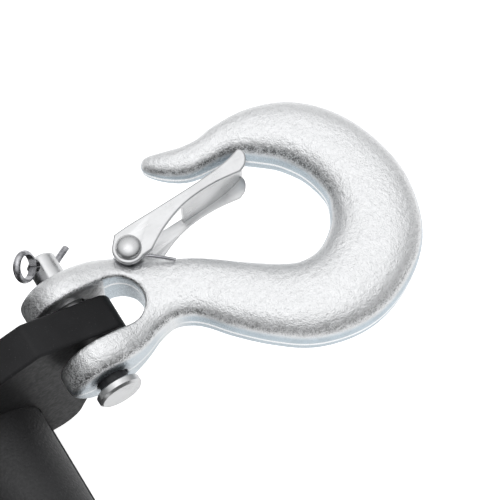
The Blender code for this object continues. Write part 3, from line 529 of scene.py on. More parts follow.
def bright_zinc():
    """Smooth clear zinc on machined and pressed parts, faintly clouded and finely scratched."""
    n = Nodes("bright_zinc")
    if not n.fresh:
        return n.material
    zinc = tuple(finishes().zinc)
    cloud = n.noise(7 * MM, 3.0, 0.55)
    fine = n.noise(0.9 * MM, 2.0, 0.5)
    scratch = n.noise(0.8 * MM, 3.0, 0.6, stretch=(0.08, 1.0, 1.0))
    mixed = n.maths("ADD", n.maths("MULTIPLY", scratch, 0.5), n.maths("MULTIPLY", cloud, 0.5))
    n.set(Base_Color=n.blend(n.ramp(cloud, 0.35, 0.65), shade(zinc, 0.70), shade(zinc, 0.79)), Metallic=1.0)
    n.set(Roughness=n.ramp(mixed, 0.35, 0.65, 0.26, 0.40))
    n.set(Normal=n.bump(fine, 0.05 * MM, n.bump(scratch, 0.05 * MM, strength=0.3), 0.35))
    return n.material


def dark_steel():
    """Oiled machined steel: brushed, its tone clouded darker and lighter at random."""
    n = Nodes("dark_steel")
    if not n.fresh:
        return n.material
    steel = tuple(finishes().steel)
    cloud = n.noise(6 * MM, 4.0, 0.6)
    brushed = n.noise(0.6 * MM, 3.0, 0.6, stretch=(1.0, 0.1, 1.0))
    n.set(Base_Color=n.blend(n.ramp(cloud, 0.35, 0.65), shade(steel, 0.72), shade(steel, 1.25)), Metallic=1.0)
    n.set(Roughness=n.ramp(brushed, 0.3, 0.7, 0.28, 0.5))
    n.set(Normal=n.bump(brushed, 0.06 * MM, strength=0.4))
    return n.material


def spring_steel():
    """Drawn wire: bright, smooth and slightly clouded."""
    n = Nodes("spring_steel")
    if not n.fresh:
        return n.material
    cloud = n.noise(2.5 * MM, 3.0, 0.6)
    n.set(Base_Color=n.blend(n.ramp(cloud, 0.35, 0.65), (0.34, 0.34, 0.36), (0.60, 0.60, 0.62)), Metallic=1.0)
    n.set(Roughness=n.ramp(cloud, 0.3, 0.7, 0.2, 0.36))
    n.set(Normal=n.bump(n.noise(0.5 * MM, 2.0), 0.03 * MM, strength=0.3))
    return n.material


def painted_neck_shade():
    """Painted shade on the clevis pin's neck under its head, where the gap to the ear lies in shadow."""
    n = Nodes("painted_neck_shade")
    if not n.fresh:
        return n.material
    shade_mottle = n.noise(1.5 * MM, 3.0, 0.6)
    # Near black and matt, mottled a little: the painted shadow in the gap.
    n.set(Base_Color=n.blend(n.ramp(shade_mottle, 0.35, 0.65), (0.012, 0.013, 0.015), (0.04, 0.042, 0.045)))
    n.set(Metallic=0.0)
    n.set(Roughness=n.ramp(shade_mottle, 0.3, 0.7, 0.45, 0.65), Normal=n.bump(shade_mottle, 0.04 * MM, strength=0.3))
    return n.material


def bronze():
    """Sintered bronze: warm, dull and finely pored."""
    n = Nodes("bronze")
    if not n.fresh:
        return n.material
    tone = tuple(finishes().bronze)
    pores = n.noise(0.6 * MM, 3.0, 0.6)
    cloud = n.noise(5 * MM, 2.0, 0.5)
    n.set(Base_Color=n.blend(n.ramp(cloud, 0.35, 0.65), shade(tone, 0.75), shade(tone, 1.15)), Metallic=1.0)
    n.set(Roughness=n.ramp(pores, 0.35, 0.65, 0.34, 0.55), Normal=n.bump(pores, 0.05 * MM, strength=0.4))
    return n.material


def black_coat(name="black_coat", gloss=0.40, depth=0.05, size=1.1, shine=0.12):
    """Powder coat: near black, satin, with the fine orange peel of a sprayed and baked skin."""
    n = Nodes(name)
    if not n.fresh:
        return n.material
    coat = tuple(finishes().coat)
    peel = n.noise(size * MM, 2.0, 0.5)
    cloud = n.noise(14 * MM, 3.0, 0.5)
    dust = n.noise(0.5 * MM, 2.0, 0.7)
    tone = n.blend(n.ramp(cloud, 0.3, 0.7), coat, shade(coat, 1.35))
    n.set(Base_Color=n.blend(n.ramp(dust, 0.66, 0.74), tone, shade(coat, 3.0)))
    n.set(Roughness=n.ramp(peel, 0.3, 0.7, gloss - 0.05, gloss + 0.08))
    n.set(Normal=n.bump(peel, depth * MM, strength=0.8))
    n.shader.inputs["Specular IOR Level"].default_value = shine
    return n.material


def speckled_coat():
    """The same coat, coarser and duller."""
    return black_coat("speckled_coat", 0.5, 0.22, 0.8, 0.5)


def black_rubber():
    """Moulded rubber: matt, with a fine leathery skin."""
    n = Nodes("black_rubber")
    if not n.fresh:
        return n.material
    tone = tuple(finishes().rubber)
    skin = n.noise(0.7 * MM, 3.0, 0.6)
    cloud = n.noise(12 * MM, 3.0, 0.5)
    n.set(Base_Color=n.blend(n.ramp(cloud, 0.3, 0.7), tone, shade(tone, 1.5)))
    n.set(Roughness=n.ramp(skin, 0.3, 0.7, 0.5, 0.72), Normal=n.bump(skin, 0.08 * MM, strength=0.6))
    return n.material


# ---------------------------------------------------------------- the hook

# Middle line and section of the forging, in millimetres from the clevis pin: x, y, half width,
# half thickness and how square the section is.
HOOK_ROWS = [
    (42.4, 38.3, 1.2, 1.6, 2.2), (43.9, 37.4, 2.9, 3.6, 2.3), (48.7, 34.4, 4.5, 5.2, 2.5),
    (54.5, 31.8, 5.3, 6.2, 2.6), (61.0, 31.0, 5.3, 7.2, 2.7), (68.5, 31.2, 6.3, 8.2, 2.7),
    (77.7, 28.7, 8.8, 9.2, 2.7), (87.5, 23.0, 10.8, 9.8, 2.7), (94.8, 13.6, 11.8, 10, 2.7),
    (98.4, 1.8, 12.5, 10, 2.7), (98.0, -8.2, 13.5, 10, 2.7), (93.2, -19, 14.5, 10, 2.7),
    (84.2, -26.2, 14.4, 10, 2.7), (74.7, -29.3, 14.1, 10, 2.7), (64.2, -28, 13.3, 9.8, 2.7),
    (55.5, -23.1, 12.3, 9.4, 2.8), (47, -16.2, 11.3, 9, 2.9), (40.2, -9.8, 10.2, 8.6, 3.0),
    (34.7, -5.8, 9.9, 8.3, 3.1), (28.2, -2.9, 10.3, 8.1, 3.2), (22, -1.3, 12.7, 8.4, 3.4),
    (16, -0.4, 15.7, 9.5, 3.8), (10, 0, 17.5, 11.1, 4.4), (5, 0, 18, 12.3, 5), (0, 0, 18, 13, 5),
    (-5, 0, 18, 12, 5), (-9, 0, 17.7, 9.4, 4.4), (-12, 0, 16.8, 5.2, 3.6), (-13.2, 0, 15.6, 1.8, 2.6)]
BEND_REACH, BEND_START = 0.9925, 30         # keeps the smoothed bend within the frame's own length
BOWL = Vector((66, 6, 0)) * MM      # the middle of the bowl, from the clevis pin
RIVET_SEAT = 4.85 * MM              # radius of the sunk seat round the rivet
RIM_CLEAR = (23.7, 12.7, 7.5)       # x, y and radius in millimetres: the seat's rim stays crisp
RIM_REACH, RIM_END = 13.5, 26       # the jaw's softened rim, in millimetres from its root and from the pin


def hook_rings(steps, sides):
    rows = smooth_path(HOOK_ROWS, steps)
    rings = []
    for i, (x, y, wide, tall, square) in enumerate(rows):
        x0, y0 = rows[max(i - 1, 0)][:2]
        x1, y1 = rows[min(i + 1, len(rows) - 1)][:2]
        across = Vector((y0 - y1, x1 - x0, 0)).normalized()
        ring = []
        for k in range(sides):
            c, s = math.cos(2 * math.pi * k / sides), math.sin(2 * math.pi * k / sides)
            u = math.copysign(abs(c) ** (2 / square), c) * wide
            v = math.copysign(abs(s) ** (2 / square), s) * tall
            point = Vector((x, y, 0)) + across * u + Vector((0, 0, v))
            point.x = min(point.x, BEND_START + (point.x - BEND_START) * BEND_REACH)
            ring.append(PIN + point * MM)
        rings.append(ring)
    return rings


def mark_trim(obj):
    """Stores the upright walls where the flash was trimmed, which also carry a painted reflection, the line
    between the dies, and the flanks that get painted shade.
    """
    mesh = obj.data
    names = ("trim_and_reflection", "parting", "flank_shade")
    for name in names:
        mesh.attributes.new(name, "FLOAT", "POINT")
    trim_and_reflection, parting, flank_shade = (mesh.attributes[name].data for name in names)
    for k, vertex in enumerate(mesh.vertices):
        place, normal = vertex.co - PIN, vertex.normal
        # The trimmed band on the upright walls, where the colour also paints a reflection of the floor.
        upright_wall = 1 - fade(abs(normal.z), 0.22, 0.22)
        outer_ear = fade(-place.y, 12 * MM, 3 * MM) if normal.y < 0 else 0
        clear_of_jaw = max(fade(place.x, 24 * MM, 6 * MM), 0.7 * outer_ear)
        root_wall = place.x > 12 * MM and math.hypot(place.x - 12.7 * MM, place.y) < 10 * MM
        trim_and_reflection[k].value = upright_wall * (0.85 if root_wall else clear_of_jaw)
        # The flanks are sloping shoulders that face away from the light, less on the bowl's outer side; their
        # specks are darkened as painted shade.
        shoulder = 1 - fade(abs(abs(normal.z) - 0.6), 0, 0.27)
        facing = fade(0.35 - normal.y - 0.4 * normal.x, 0, 1)
        from_bowl = place - BOWL
        outer = from_bowl.x * normal.x + from_bowl.y * normal.y > 0 and place.x > 34 * MM
        flank_shade[k].value = shoulder * facing * (0.55 if outer else 1)
        line_height, line_half = (3.2 * MM, 0.25 * MM) if root_wall else (0.4 * MM, 0.3 * MM)
        near = 1 - fade(abs(place.z - line_height), line_half, 0.5 * MM)
        parting[k].value = near * upright_wall * (1 if root_wall else clear_of_jaw)


class WINCH_OT_hook(bpy.types.Operator):
    """Forge the hook with its latch tab, its jaw for the anchor plate and its bores"""
    bl_idname = "winch.hook"
    bl_label = "Hook"

    def execute(self, context):
        s = sizes()
        hook = skinned("forged_hook", hook_rings(6, 64))
        pivot = RIVET_AT - PIN
        tab = hull([((pivot.x, pivot.y), 4.6 * MM), ((25 * MM, 2 * MM), 8 * MM)])
        join(hook, outlined("latch_tab", tab, -5 * MM, 5 * MM, PIN))
        apply(hook, "REMESH", mode="VOXEL", voxel_size=s.grain)
        apply(hook, "SMOOTH", factor=0.5, iterations=4)
        half = s.jaw_gap / 2
        jaw = [(-30 * MM, -half)] + arc((s.jaw_root, 0), half, -90, 90, 48) + [(-30 * MM, half)]
        cut(hook, outlined("jaw", jaw, -20 * MM, 20 * MM, PIN))
        cut(hook, peg("bore", PIN, SIDEWAYS, -30 * MM, 30 * MM, s.pin_bore))
        cut(hook, peg("seat", RIVET_AT, (0, 0, 1), 5 * MM, 20 * MM, RIVET_SEAT))
        cut(hook, peg("rivet_hole", RIVET_AT, (0, 0, 1), -20 * MM, 20 * MM, RIVET_HOLE))
        apply(hook, "REMESH", mode="VOXEL", voxel_size=s.grain)
        apply(hook, "SMOOTH", factor=0.5, iterations=3)
        rim = hook.vertex_groups.new(name="jaw_rim")
        for vertex in hook.data.vertices:
            x, y, _ = (vertex.co - PIN) / MM
            from_root = math.hypot(max(0, x - s.jaw_root / MM), y) if x > s.jaw_root / MM else abs(y)
            weight = fade(RIM_REACH - from_root, 0, 3)
            if x < RIM_END and weight > 0 and math.hypot(x - RIM_CLEAR[0], y - RIM_CLEAR[1]) > RIM_CLEAR[2]:
                rim.add([vertex.index], weight, "REPLACE")
        apply(hook, "SMOOTH", factor=0.6, iterations=26, vertex_group="jaw_rim")
        only(hook)
        bpy.ops.object.shade_smooth()
        mark_trim(hook)
        finished(hook, "hook_body")
        return {"FINISHED"}


# ---------------------------------------------------------------- latch

# Millimetres from the clevis pin: the sheet's lower and upper edges, its tip, and the spring's long leg.
LATCH_LOWER = [(65.7, 16.9), (57.7, 17.6), (49.7, 17.2), (42.7, 15.6), (35.7, 12.5), (29.6, 8.6)]
LATCH_UPPER = [(22.0, 18.6), (27.7, 19.2), (37.7, 19.7), (52.7, 20.7), (62.7, 22.0), (68.6, 23.8)]
LATCH_TIP = [(69.5, 23.3), (69.9, 22.4), (69.9, 21.2), (69.5, 20.0), (68.8, 18.9), (67.8, 17.9)]
LATCH_EYE = 5.1 * MM                # radius of the sheet round the rivet
LATCH_WEB_START = 46
RIVET_SHANK = 2.5 * MM
LATCH_SPRING_LEG = [(34.6, 3.3, 7.1), (31.0, 5.9, 8.2), (27.3, 8.5, 8.65), (23.3, 9.2, 8.65)]


def scaled(points):
    return [(x * MM, y * MM) for x, y in points]


class WINCH_OT_latch(bpy.types.Operator):
    """Fold the sheet latch, dome its rivet and wind its spring"""
    bl_idname = "winch.latch"
    bl_label = "Latch"

    def execute(self, context):
        s = sizes()
        pivot = RIVET_AT - PIN
        half = s.latch_width / 2
        lower, upper = smooth_path(LATCH_LOWER, 5), smooth_path(LATCH_UPPER, 5)
        eye = arc((pivot.x, pivot.y), LATCH_EYE, 300, 150, 40)
        latch = outlined("sheet_latch", scaled(lower) + eye + scaled(upper + LATCH_TIP), -half, half, PIN)
        soften(latch, 0.5 * MM, 3, 60)
        web = [(x, y - s.latch_sheet / MM) for x, y in upper if x > LATCH_WEB_START]
        room = [(10, -5), (80, -5), (80, web[-1][1] + 2.8)] + web[::-1]
        room += [(LATCH_WEB_START, web[0][1] - 0.4), (LATCH_WEB_START, 40), (10, 40)]
        inner = half - s.latch_sheet
        cut(latch, outlined("latch_room", scaled(room), -inner, inner, PIN),
            peg("latch_hole", RIVET_AT, (0, 0, 1), -20 * MM, 20 * MM, RIVET_HOLE))
        soften(latch, 0.22 * MM, 2, 50)
        finished(latch, "safety_latch")

        rise = (span("latch_rivet").z - s.latch_width) / 2 - GAP
        head = span("latch_rivet").x / 2
        top = half + GAP
        crown = dome(head, rise, top)
        profile = crown + [(RIVET_SHANK, top), (RIVET_SHANK, -top)] + [(r, -z) for r, z in crown[::-1]]
        rivet = turned("domed_rivet", profile, RIVET_AT, sides=48)
        finished(rivet, "latch_rivet")

        wire = s.spring_wire
        mean = RIVET_SHANK + 2 * GAP + wire
        low, high = 5 * MM + GAP + wire, inner - GAP - wire
        leg = smooth_path([tuple(p) for p in LATCH_SPRING_LEG], 6)[:-1]
        points = [Vector(p) * MM + PIN - RIVET_AT for p in leg]
        points += [Vector(place) for place in coil(mean, 255, -2.43, high, low, 120)]
        points.append(points[-1] + Vector((9, 1.8, 0)) * MM)
        spring = wound("wound_spring", [RIVET_AT + p for p in points], wire)
        finished(spring, "latch_spring")
        return {"FINISHED"}


def wound(name, points, radius):
    """A wire along points, drawn as a curve and made a mesh."""
    deselect()
    curve = bpy.data.curves.new(name, "CURVE")
    curve.dimensions = "3D"
    curve.bevel_depth = radius
    curve.bevel_resolution = 3
    curve.use_fill_caps = True
    spline = curve.splines.new("POLY")
    spline.points.add(len(points) - 1)
    for point, place in zip(spline.points, points):
        point.co = (*place, 1)
    obj = bpy.data.objects.new(name, curve)
    bpy.context.scene.collection.objects.link(obj)
    only(obj)
    bpy.ops.object.convert(target="MESH")
    return tidy_mesh(bpy.context.object, 60)


# ---------------------------------------------------------------- clevis pin and cotter

COTTER_DIRECTION = math.radians(128)
COTTER_TURN = math.radians(-37.5)
COTTER_INSET = 2.7 * MM             # from the pin's end to the middle of the cotter's hole
COTTER_HALF, COTTER_SPLIT, COTTER_EYE = 1.3 * MM, 0.12 * MM, 3.8 * MM


class WINCH_OT_pin(bpy.types.Operator):
    """Turn the clevis pin and bend the cotter through its end"""
    bl_idname = "winch.pin"
    bl_label = "Clevis pin"

    def execute(self, context):
        s = sizes()
        low, high = ends("clevis_pin")
        radius, head, thick = s.pin_radius, span("clevis_pin").x / 2, 3 * MM
        shoulder = low + thick
        profile = [(0, low + 0.15 * MM), (head * 0.45, low + 0.1 * MM), (head - 1.4 * MM, low)]
        profile += [(head - 0.8 * MM, low), (head, low + 0.8 * MM), (head, shoulder - 0.4 * MM)]
        profile += [(head - 0.4 * MM, shoulder)]
        profile += [(radius + MM, shoulder), (radius, shoulder)]
        profile += [(radius, y * MM) for y in (-15, 0)] + [(radius, high - MM), (radius - MM, high), (0, high)]
        pin = turned("turned_clevis_pin", profile, PIN, SIDEWAYS, 64)
        cotter_at = Vector((PIN.x, high - COTTER_INSET, PIN.z))
        along = Vector((math.cos(COTTER_DIRECTION), 0, math.sin(COTTER_DIRECTION)))
        cut(pin, peg("cotter_hole", cotter_at, along, -10 * MM, 10 * MM, 2.2 * MM, 32))
        soften(pin, 0.25 * MM, 2, 40, merge=0.0005 * MM)    # the hole meets the chamfer in very short edges
        finished(pin, "clevis_pin")
        # The neck between the head and the ear takes the painted shade of the shadowed gap.
        pin.data.materials.append(painted_neck_shade())
        for face in pin.data.polygons:
            near_axis = math.hypot(face.center.x - PIN.x, face.center.z - PIN.z) < radius + 1.2 * MM
            if shoulder - 0.1 * MM < face.center.y < -15 * MM and near_axis:
                face.material_index = 1

        aside = Matrix.Rotation(COTTER_TURN, 3, along) @ Vector(SIDEWAYS)
        square = along.cross(aside)
        neck, far = radius + 0.8 * MM, -(radius + 2 * MM)
        leg = [(far - 5 * MM, -5.5 * MM), (far - 2 * MM, -3 * MM), (far, -1.2 * MM),
               (far + 1.5 * MM, -COTTER_SPLIT), (0, -COTTER_SPLIT),
               (neck - 0.6 * MM, -COTTER_SPLIT)]
        loop = arc((neck + COTTER_EYE, 0), COTTER_EYE, -158, 158, 40)
        path = leg + loop + [(u, -v) for u, v in leg[::-1]]
        rings = []
        for i, (u, v) in enumerate(path):
            before, after = path[max(i - 1, 0)], path[min(i + 1, len(path) - 1)]
            ahead = Vector((after[0] - before[0], after[1] - before[1])).normalized()
            outward = along * ahead.y - aside * ahead.x
            place = cotter_at + along * u + aside * v
            rings.append([place + square * COTTER_HALF * math.cos(a) + outward * COTTER_HALF * math.sin(a)
                          for a in [math.pi * k / 12 for k in range(13)]])
        cotter = tidy_mesh(skinned("bent_cotter", rings), 40)
        finished(cotter, "cotter_pin")
        return {"FINISHED"}


# ---------------------------------------------------------------- anchor plate and cross tube

TUBE_WALL = 3 * MM


class WINCH_OT_anchor(bpy.types.Operator):
    """Cut the thick anchor plate and the cross tube that it is welded round"""
    bl_idname = "winch.anchor"
    bl_label = "Anchor plate"

    def execute(self, context):
        s = sizes()
        low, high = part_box("anchor_plate")
        foot = low[2] - PIN.z
        nose = arc((4.4 * MM, 0), 7.6 * MM, -18, 50, 24)
        toe = arc((-16 * MM, foot + 10 * MM), 10 * MM, -90, -18, 20)
        crest = arc((-17.4 * MM, 13.6 * MM), 3 * MM, 64, 107, 10)
        back = [(-47 * MM, 7.4 * MM), (-56 * MM, -20 * MM), (-60 * MM, foot)]
        plate = outlined("thick_anchor_plate", toe + nose + crest + back, low[1], high[1], PIN, "Y")
        soften(plate, s.plate_edge, 4, 25)
        cut(plate, peg("tube_hole", TUBE, SIDEWAYS, -12 * MM, 12 * MM, s.tube_radius + GAP, 96),
            peg("pin_hole", PIN, SIDEWAYS, -12 * MM, 12 * MM, s.pin_bore))
        tidy_mesh(plate, 30)
        finished(plate, "anchor_plate", black_coat())

        left, right = ends("cross_tube")
        outer, inner, edge = s.tube_radius, s.tube_radius - TUBE_WALL, 0.5 * MM
        profile = [(inner, left), (outer - edge, left), (outer, left + edge), (outer, right - edge),
                   (outer - edge, right), (inner, right), (inner, left)]
        tube = turned("coated_cross_tube", profile, flat(TUBE), SIDEWAYS, 128)
        finished(tube, "cross_tube")
        return {"FINISHED"}


# ---------------------------------------------------------------- frame

CORNER = 4 * MM                     # rounding of the plates' corners
SLOT_AT = (50 * MM, 32 * MM)        # how far the base's slots lie from its middle
SLOT_HALF, SLOT_RADIUS = 6.5 * MM, 4.5 * MM
SIDE_LAPS = (3.5 * MM, 19.5 * MM, 12 * MM, 11 * MM)     # the side plates round tube, shaft, pawl and rear tie


class WINCH_OT_frame(bpy.types.Operator):
    """Cut the base and the two side plates and fit the rear tie tube"""
    bl_idname = "winch.frame"
    bl_label = "Frame"

    def execute(self, context):
        s = sizes()
        low, high = (Vector(corner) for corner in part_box("base_plate"))
        corner = CORNER
        ring = hull([((x, y), corner) for x in (low.x + corner, high.x - corner)
                     for y in (low.y + corner, high.y - corner)], 48)
        base = soften(outlined("cut_base_plate", ring, low.z, high.z), s.plate_edge * 0.9, 3, 30)
        for x in (-SLOT_AT[0], SLOT_AT[0]):
            for y in (-SLOT_AT[1], SLOT_AT[1]):
                slot = hull([((x - SLOT_HALF, y), SLOT_RADIUS), ((x + SLOT_HALF, y), SLOT_RADIUS)], 64)
                cut(base, outlined("slot", slot, low.z - PAST, high.z + PAST))
        finished(soften(base, 0.4 * MM, 2, 50), "base_plate")

        foot, reach = high.z + GAP, high.x
        round_tube, round_shaft, round_pawl, round_tie = SIDE_LAPS
        ring = hull([((-reach + corner, foot + corner), corner), ((reach - 12 * MM, foot + corner), corner),
                     (xz(TUBE), s.tube_radius + round_tube), (xz(SHAFT), round_shaft), (xz(PAWL), round_pawl),
                     (xz(REAR_TIE), round_tie)])
        for side in ("left", "right"):
            near, far = ends("side_plate_" + side)
            panel = soften(outlined(side + "_plate", ring, near, far, along="Y"), 0.7 * MM, 3, 30)
            holes = [(TUBE, M10), (DRUM, M12), (REAR_TIE, M8), (SHAFT, BUSH_BARREL)]
            if side == "left":
                holes.append((PAWL, M8))
            for place, radius in holes:
                drill(panel, flat(place), near, far, radius + GAP)
            finished(tidy_mesh(panel, 30), "side_plate_" + side)
        ringed("rear_tie_tube", M8 + GAP)
        return {"FINISHED"}


# ---------------------------------------------------------------- bolts and nuts

THREADED = 14 * MM                  # length of the frame bolts' thread


def thread(radius, start, end, pitch=1.25):
    """Ridges along a bolt's end, as rings."""
    count = max(2, int(abs(end - start) / (pitch * MM)))
    step = (end - start) / count
    out = []
    for i in range(count):
        out += [(radius, start + step * (i + 0.1)), (radius - 0.55 * MM, start + step * (i + 0.5)),
                (radius, start + step * (i + 0.9))]
    return out


def hexed(name, at, low, high, across, upright_corner, bore=0):
    """A six-sided head or nut along Y, its corners turned down by a cone."""
    deselect()
    bpy.ops.mesh.primitive_cylinder_add(vertices=6, radius=across / math.sqrt(3), depth=high - low,
                                        location=(0, 0, (low + high) / 2))
    prism = bpy.context.object
    prism.name = name
    only(prism)
    bpy.ops.object.transform_apply(location=True, rotation=True, scale=True)
    if not upright_corner:
        prism.data.transform(Matrix.Rotation(math.radians(30), 4, "Z"))
    placed(prism, upright(at, SIDEWAYS))
    edge, corner = across * 0.478, across * 0.6
    drop = (corner - edge) * 0.55
    cone = turned("cone", [(0, low), (edge, low), (corner, low + drop), (corner, high - drop), (edge, high),
                           (0, high)], at, SIDEWAYS, 64)
    apply(prism, "BOOLEAN", operation="INTERSECT", solver="EXACT", object=cone)
    bpy.data.objects.remove(cone, do_unlink=True)
    if bore:
        drill(prism, at, low, high, bore)
    return soften(prism, 0.2 * MM, 2, 28)


def hex_size(node):
    size = span(node)
    return min(size.x, size.z), size.z > size.x


def nut(node, bore):
    return finished(hexed("fine_" + node, flat(middle(node)), *ends(node), *hex_size(node), bore + GAP), node)


def bolt(node, head, radius, head_at_low=True):
    """A hexagon head with a threaded shank."""
    low, high = ends(node)
    at, inward = flat(middle(node)), 1 if head_at_low else -1
    outer, end = (low, high) if head_at_low else (high, low)
    face = outer + inward * head
    piece = hexed("fine_" + node, at, min(outer, face), max(outer, face), *hex_size(node))
    tip = end - inward * MM
    root = tip - inward * THREADED
    profile = [(0, face - inward * 0.5 * head), (radius, face - inward * 0.5 * head), (radius, root)]
    profile += thread(radius, root, tip) + [(radius - MM, end), (0, end)]
    join(piece, turned("shank", profile, at, SIDEWAYS, 48))
    return finished(tidy_mesh(piece, 30), node)


class WINCH_OT_bolts(bpy.types.Operator):
    """Forge the frame's bolts and nuts, with turned-down corners and threads"""
    bl_idname = "winch.bolts"
    bl_label = "Bolts and nuts"

    def execute(self, context):
        bolt("cross_tube_bolt", 6 * MM, M10)
        bolt("drum_axle_bolt", 6 * MM, M12)
        bolt("rear_tie_bolt", 5 * MM, M8)
        bolt("strap_bolt", 4 * MM, M8, head_at_low=False)
        for node, bore in (("cross_tube_nut", M10), ("drum_axle_nut", M12), ("rear_tie_nut", M8),
                           ("strap_bolt_nut", M8), ("crank_nut", CRANK_STEM), ("pawl_nut", M8)):
            nut(node, bore)
        return {"FINISHED"}


# ---------------------------------------------------------------- drum and gears

HUB_BORE = 9.3 * MM
FLANGE_DISH, DISH_DEPTH = (20 * MM, 39 * MM), 0.4 * MM      # the pressed ring in each flange's face
WINDOW_AT, WINDOW_RADIUS = 34 * MM, 7.05 * MM               # the big gear's five round windows
GEAR_EASE = 0.25 * MM               # rounding of the teeth
FINE_GAP = GAP + 0.02 * MM          # a finer hole just clears the node's own faceted one


def ringed(node, inner, edge=0.4 * MM):
    """A plain sleeve, bush, spacer or washer in the place of a node, with eased edges."""
    low, high = ends(node)
    outer = span(node).x / 2
    profile = [(inner, low + edge / 2), (inner + edge / 2, low), (outer - edge, low), (outer, low + edge),
               (outer, high - edge), (outer - edge, high), (inner + edge / 2, high), (inner, high - edge / 2),
               (inner, low + edge / 2)]
    return spun(node, profile, flat(middle(node)), 80)


def eased_copy(node, width, holes):
    """A copy of a node's own shape with its round holes made finer and its edges eased."""
    source = frame["nodes"][node]
    piece = bpy.data.objects.new("fine_" + node, source.data.copy())
    bpy.context.scene.collection.objects.link(piece)
    tidy_mesh(piece, 30)
    for place, radius in holes:
        drill(piece, flat(place), *ends(node), radius)
    return finished(soften(piece, width, 2, 30), node)


class WINCH_OT_drum(bpy.types.Operator):
    """Turn the drum's hub, flanges, bushes and spacers and ease the gear's teeth"""
    bl_idname = "winch.drum"
    bl_label = "Drum"

    def execute(self, context):
        ringed("drum_hub", HUB_BORE)
        for node in ("drum_bush_left", "drum_bush_right", "axle_spacer_left", "axle_spacer_right"):
            ringed(node, M12 + GAP)
        strap = middle("strap_bolt")
        for node in ("drum_flange_left", "drum_flange_right"):
            low, high = ends(node)
            rim, edge, (inner, outer) = span(node).x / 2, 0.9 * MM, FLANGE_DISH
            face = [(M12 + GAP, 0), (inner, 0), (inner + 1.5 * MM, DISH_DEPTH), (outer, DISH_DEPTH),
                    (outer + 1.5 * MM, 0), (rim - edge, 0), (rim - 0.3 * edge, 0.3 * edge), (rim, edge)]
            profile = [(r, low + h) for r, h in face] + [(r, high - h) for r, h in face[::-1]]
            disc = turned("fine_" + node, profile + profile[:1], DRUM, SIDEWAYS, 128, 20)
            drill(disc, flat(strap), low, high, M8 + GAP)
            finished(tidy_mesh(disc, 25), node)
        windows = [(DRUM + Vector((math.cos(a), 0, math.sin(a))) * WINDOW_AT, WINDOW_RADIUS)
                   for a in [math.radians(72 * k) for k in range(5)]]
        eased_copy("drum_gear", GEAR_EASE, windows + [(DRUM, M12 + FINE_GAP), (strap, M8 + FINE_GAP)])
        return {"FINISHED"}


# ---------------------------------------------------------------- crank and grip

ARM_ENDS = (13 * MM, 11 * MM)       # radii of the arm's ends, at the shaft and at the grip


class WINCH_OT_crank(bpy.types.Operator):
    """Turn the crank shaft, cut the arm and fit the pinion, the ratchet wheel and their rings"""
    bl_idname = "winch.crank"
    bl_label = "Crank"

    def execute(self, context):
        end, tail = ends("crank_shaft")
        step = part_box("crank_spacer")[0][1]
        big, small = span("crank_shaft").x / 2, CRANK_STEM
        profile = [(0, tail), (big - 0.8 * MM, tail), (big, tail - 0.8 * MM), (big, step + 0.3 * MM),
                   (big - 0.3 * MM, step), (small, step)]
        profile += thread(small, end + 17 * MM, end + MM, 1.5) + [(small - MM, end), (0, end)]
        spun("crank_shaft", profile, SHAFT)
        ringed("crank_spacer", big + GAP)
        ringed("crank_washer", small + GAP, 0.3 * MM)
        for node, sign in (("shaft_bush_left", 1), ("shaft_bush_right", -1)):
            lip_end, out = ends(node)[::sign]
            barrel, lip, bore, ease = BUSH_BARREL - GAP, span(node).x / 2, big + GAP, 0.3 * MM
            face = lip_end + sign * 2 * MM
            profile = [(bore, out), (barrel - ease, out), (barrel, out - sign * ease), (barrel, face),
                       (lip - ease, face), (lip, face - sign * ease), (lip, lip_end + sign * ease),
                       (lip - ease, lip_end), (bore, lip_end), (bore, out)]
            spun(node, profile, SHAFT)
        outline = arc((0, 0), big + 3 * MM, 25, 335, 90) + arc((0, 0), big + GAP, 335, 25, 90)
        ring = outlined("snap_ring", outline, *ends("shaft_retaining_ring"), SHAFT, "Y")
        finished(soften(ring, 0.2 * MM, 2, 40), "shaft_retaining_ring")
        for node in ("pinion_gear", "ratchet_wheel"):
            eased_copy(node, GEAR_EASE, [(SHAFT, big + FINE_GAP)])

        low, high = ends("crank_arm")
        ring = hull([(xz(SHAFT), ARM_ENDS[0]), (xz(GRIP), ARM_ENDS[1])], 128)
        arm = outlined("flat_arm", ring, low, high, along="Y")
        soften(arm, 1.0 * MM, 4, 30)
        for place, radius in ((SHAFT, small), (GRIP, GRIP_STEM)):
            drill(arm, place, low, high, radius + GAP)
        finished(tidy_mesh(arm, 30), "crank_arm")
        return {"FINISHED"}


# The grip's outline: how far along it, and its share of the largest radius.
GRIP_SWELL = [(0.0, 0.78), (0.03, 0.98), (0.09, 1.0), (0.16, 0.86), (0.32, 0.84), (0.55, 0.97),
              (0.78, 0.9), (0.92, 0.84), (0.97, 0.78), (1.0, 0.62)]
GRIP_RIBBED, GRIP_RIBS, GRIP_RIB_DEPTH = (0.17, 0.9), 26, 0.45 * MM


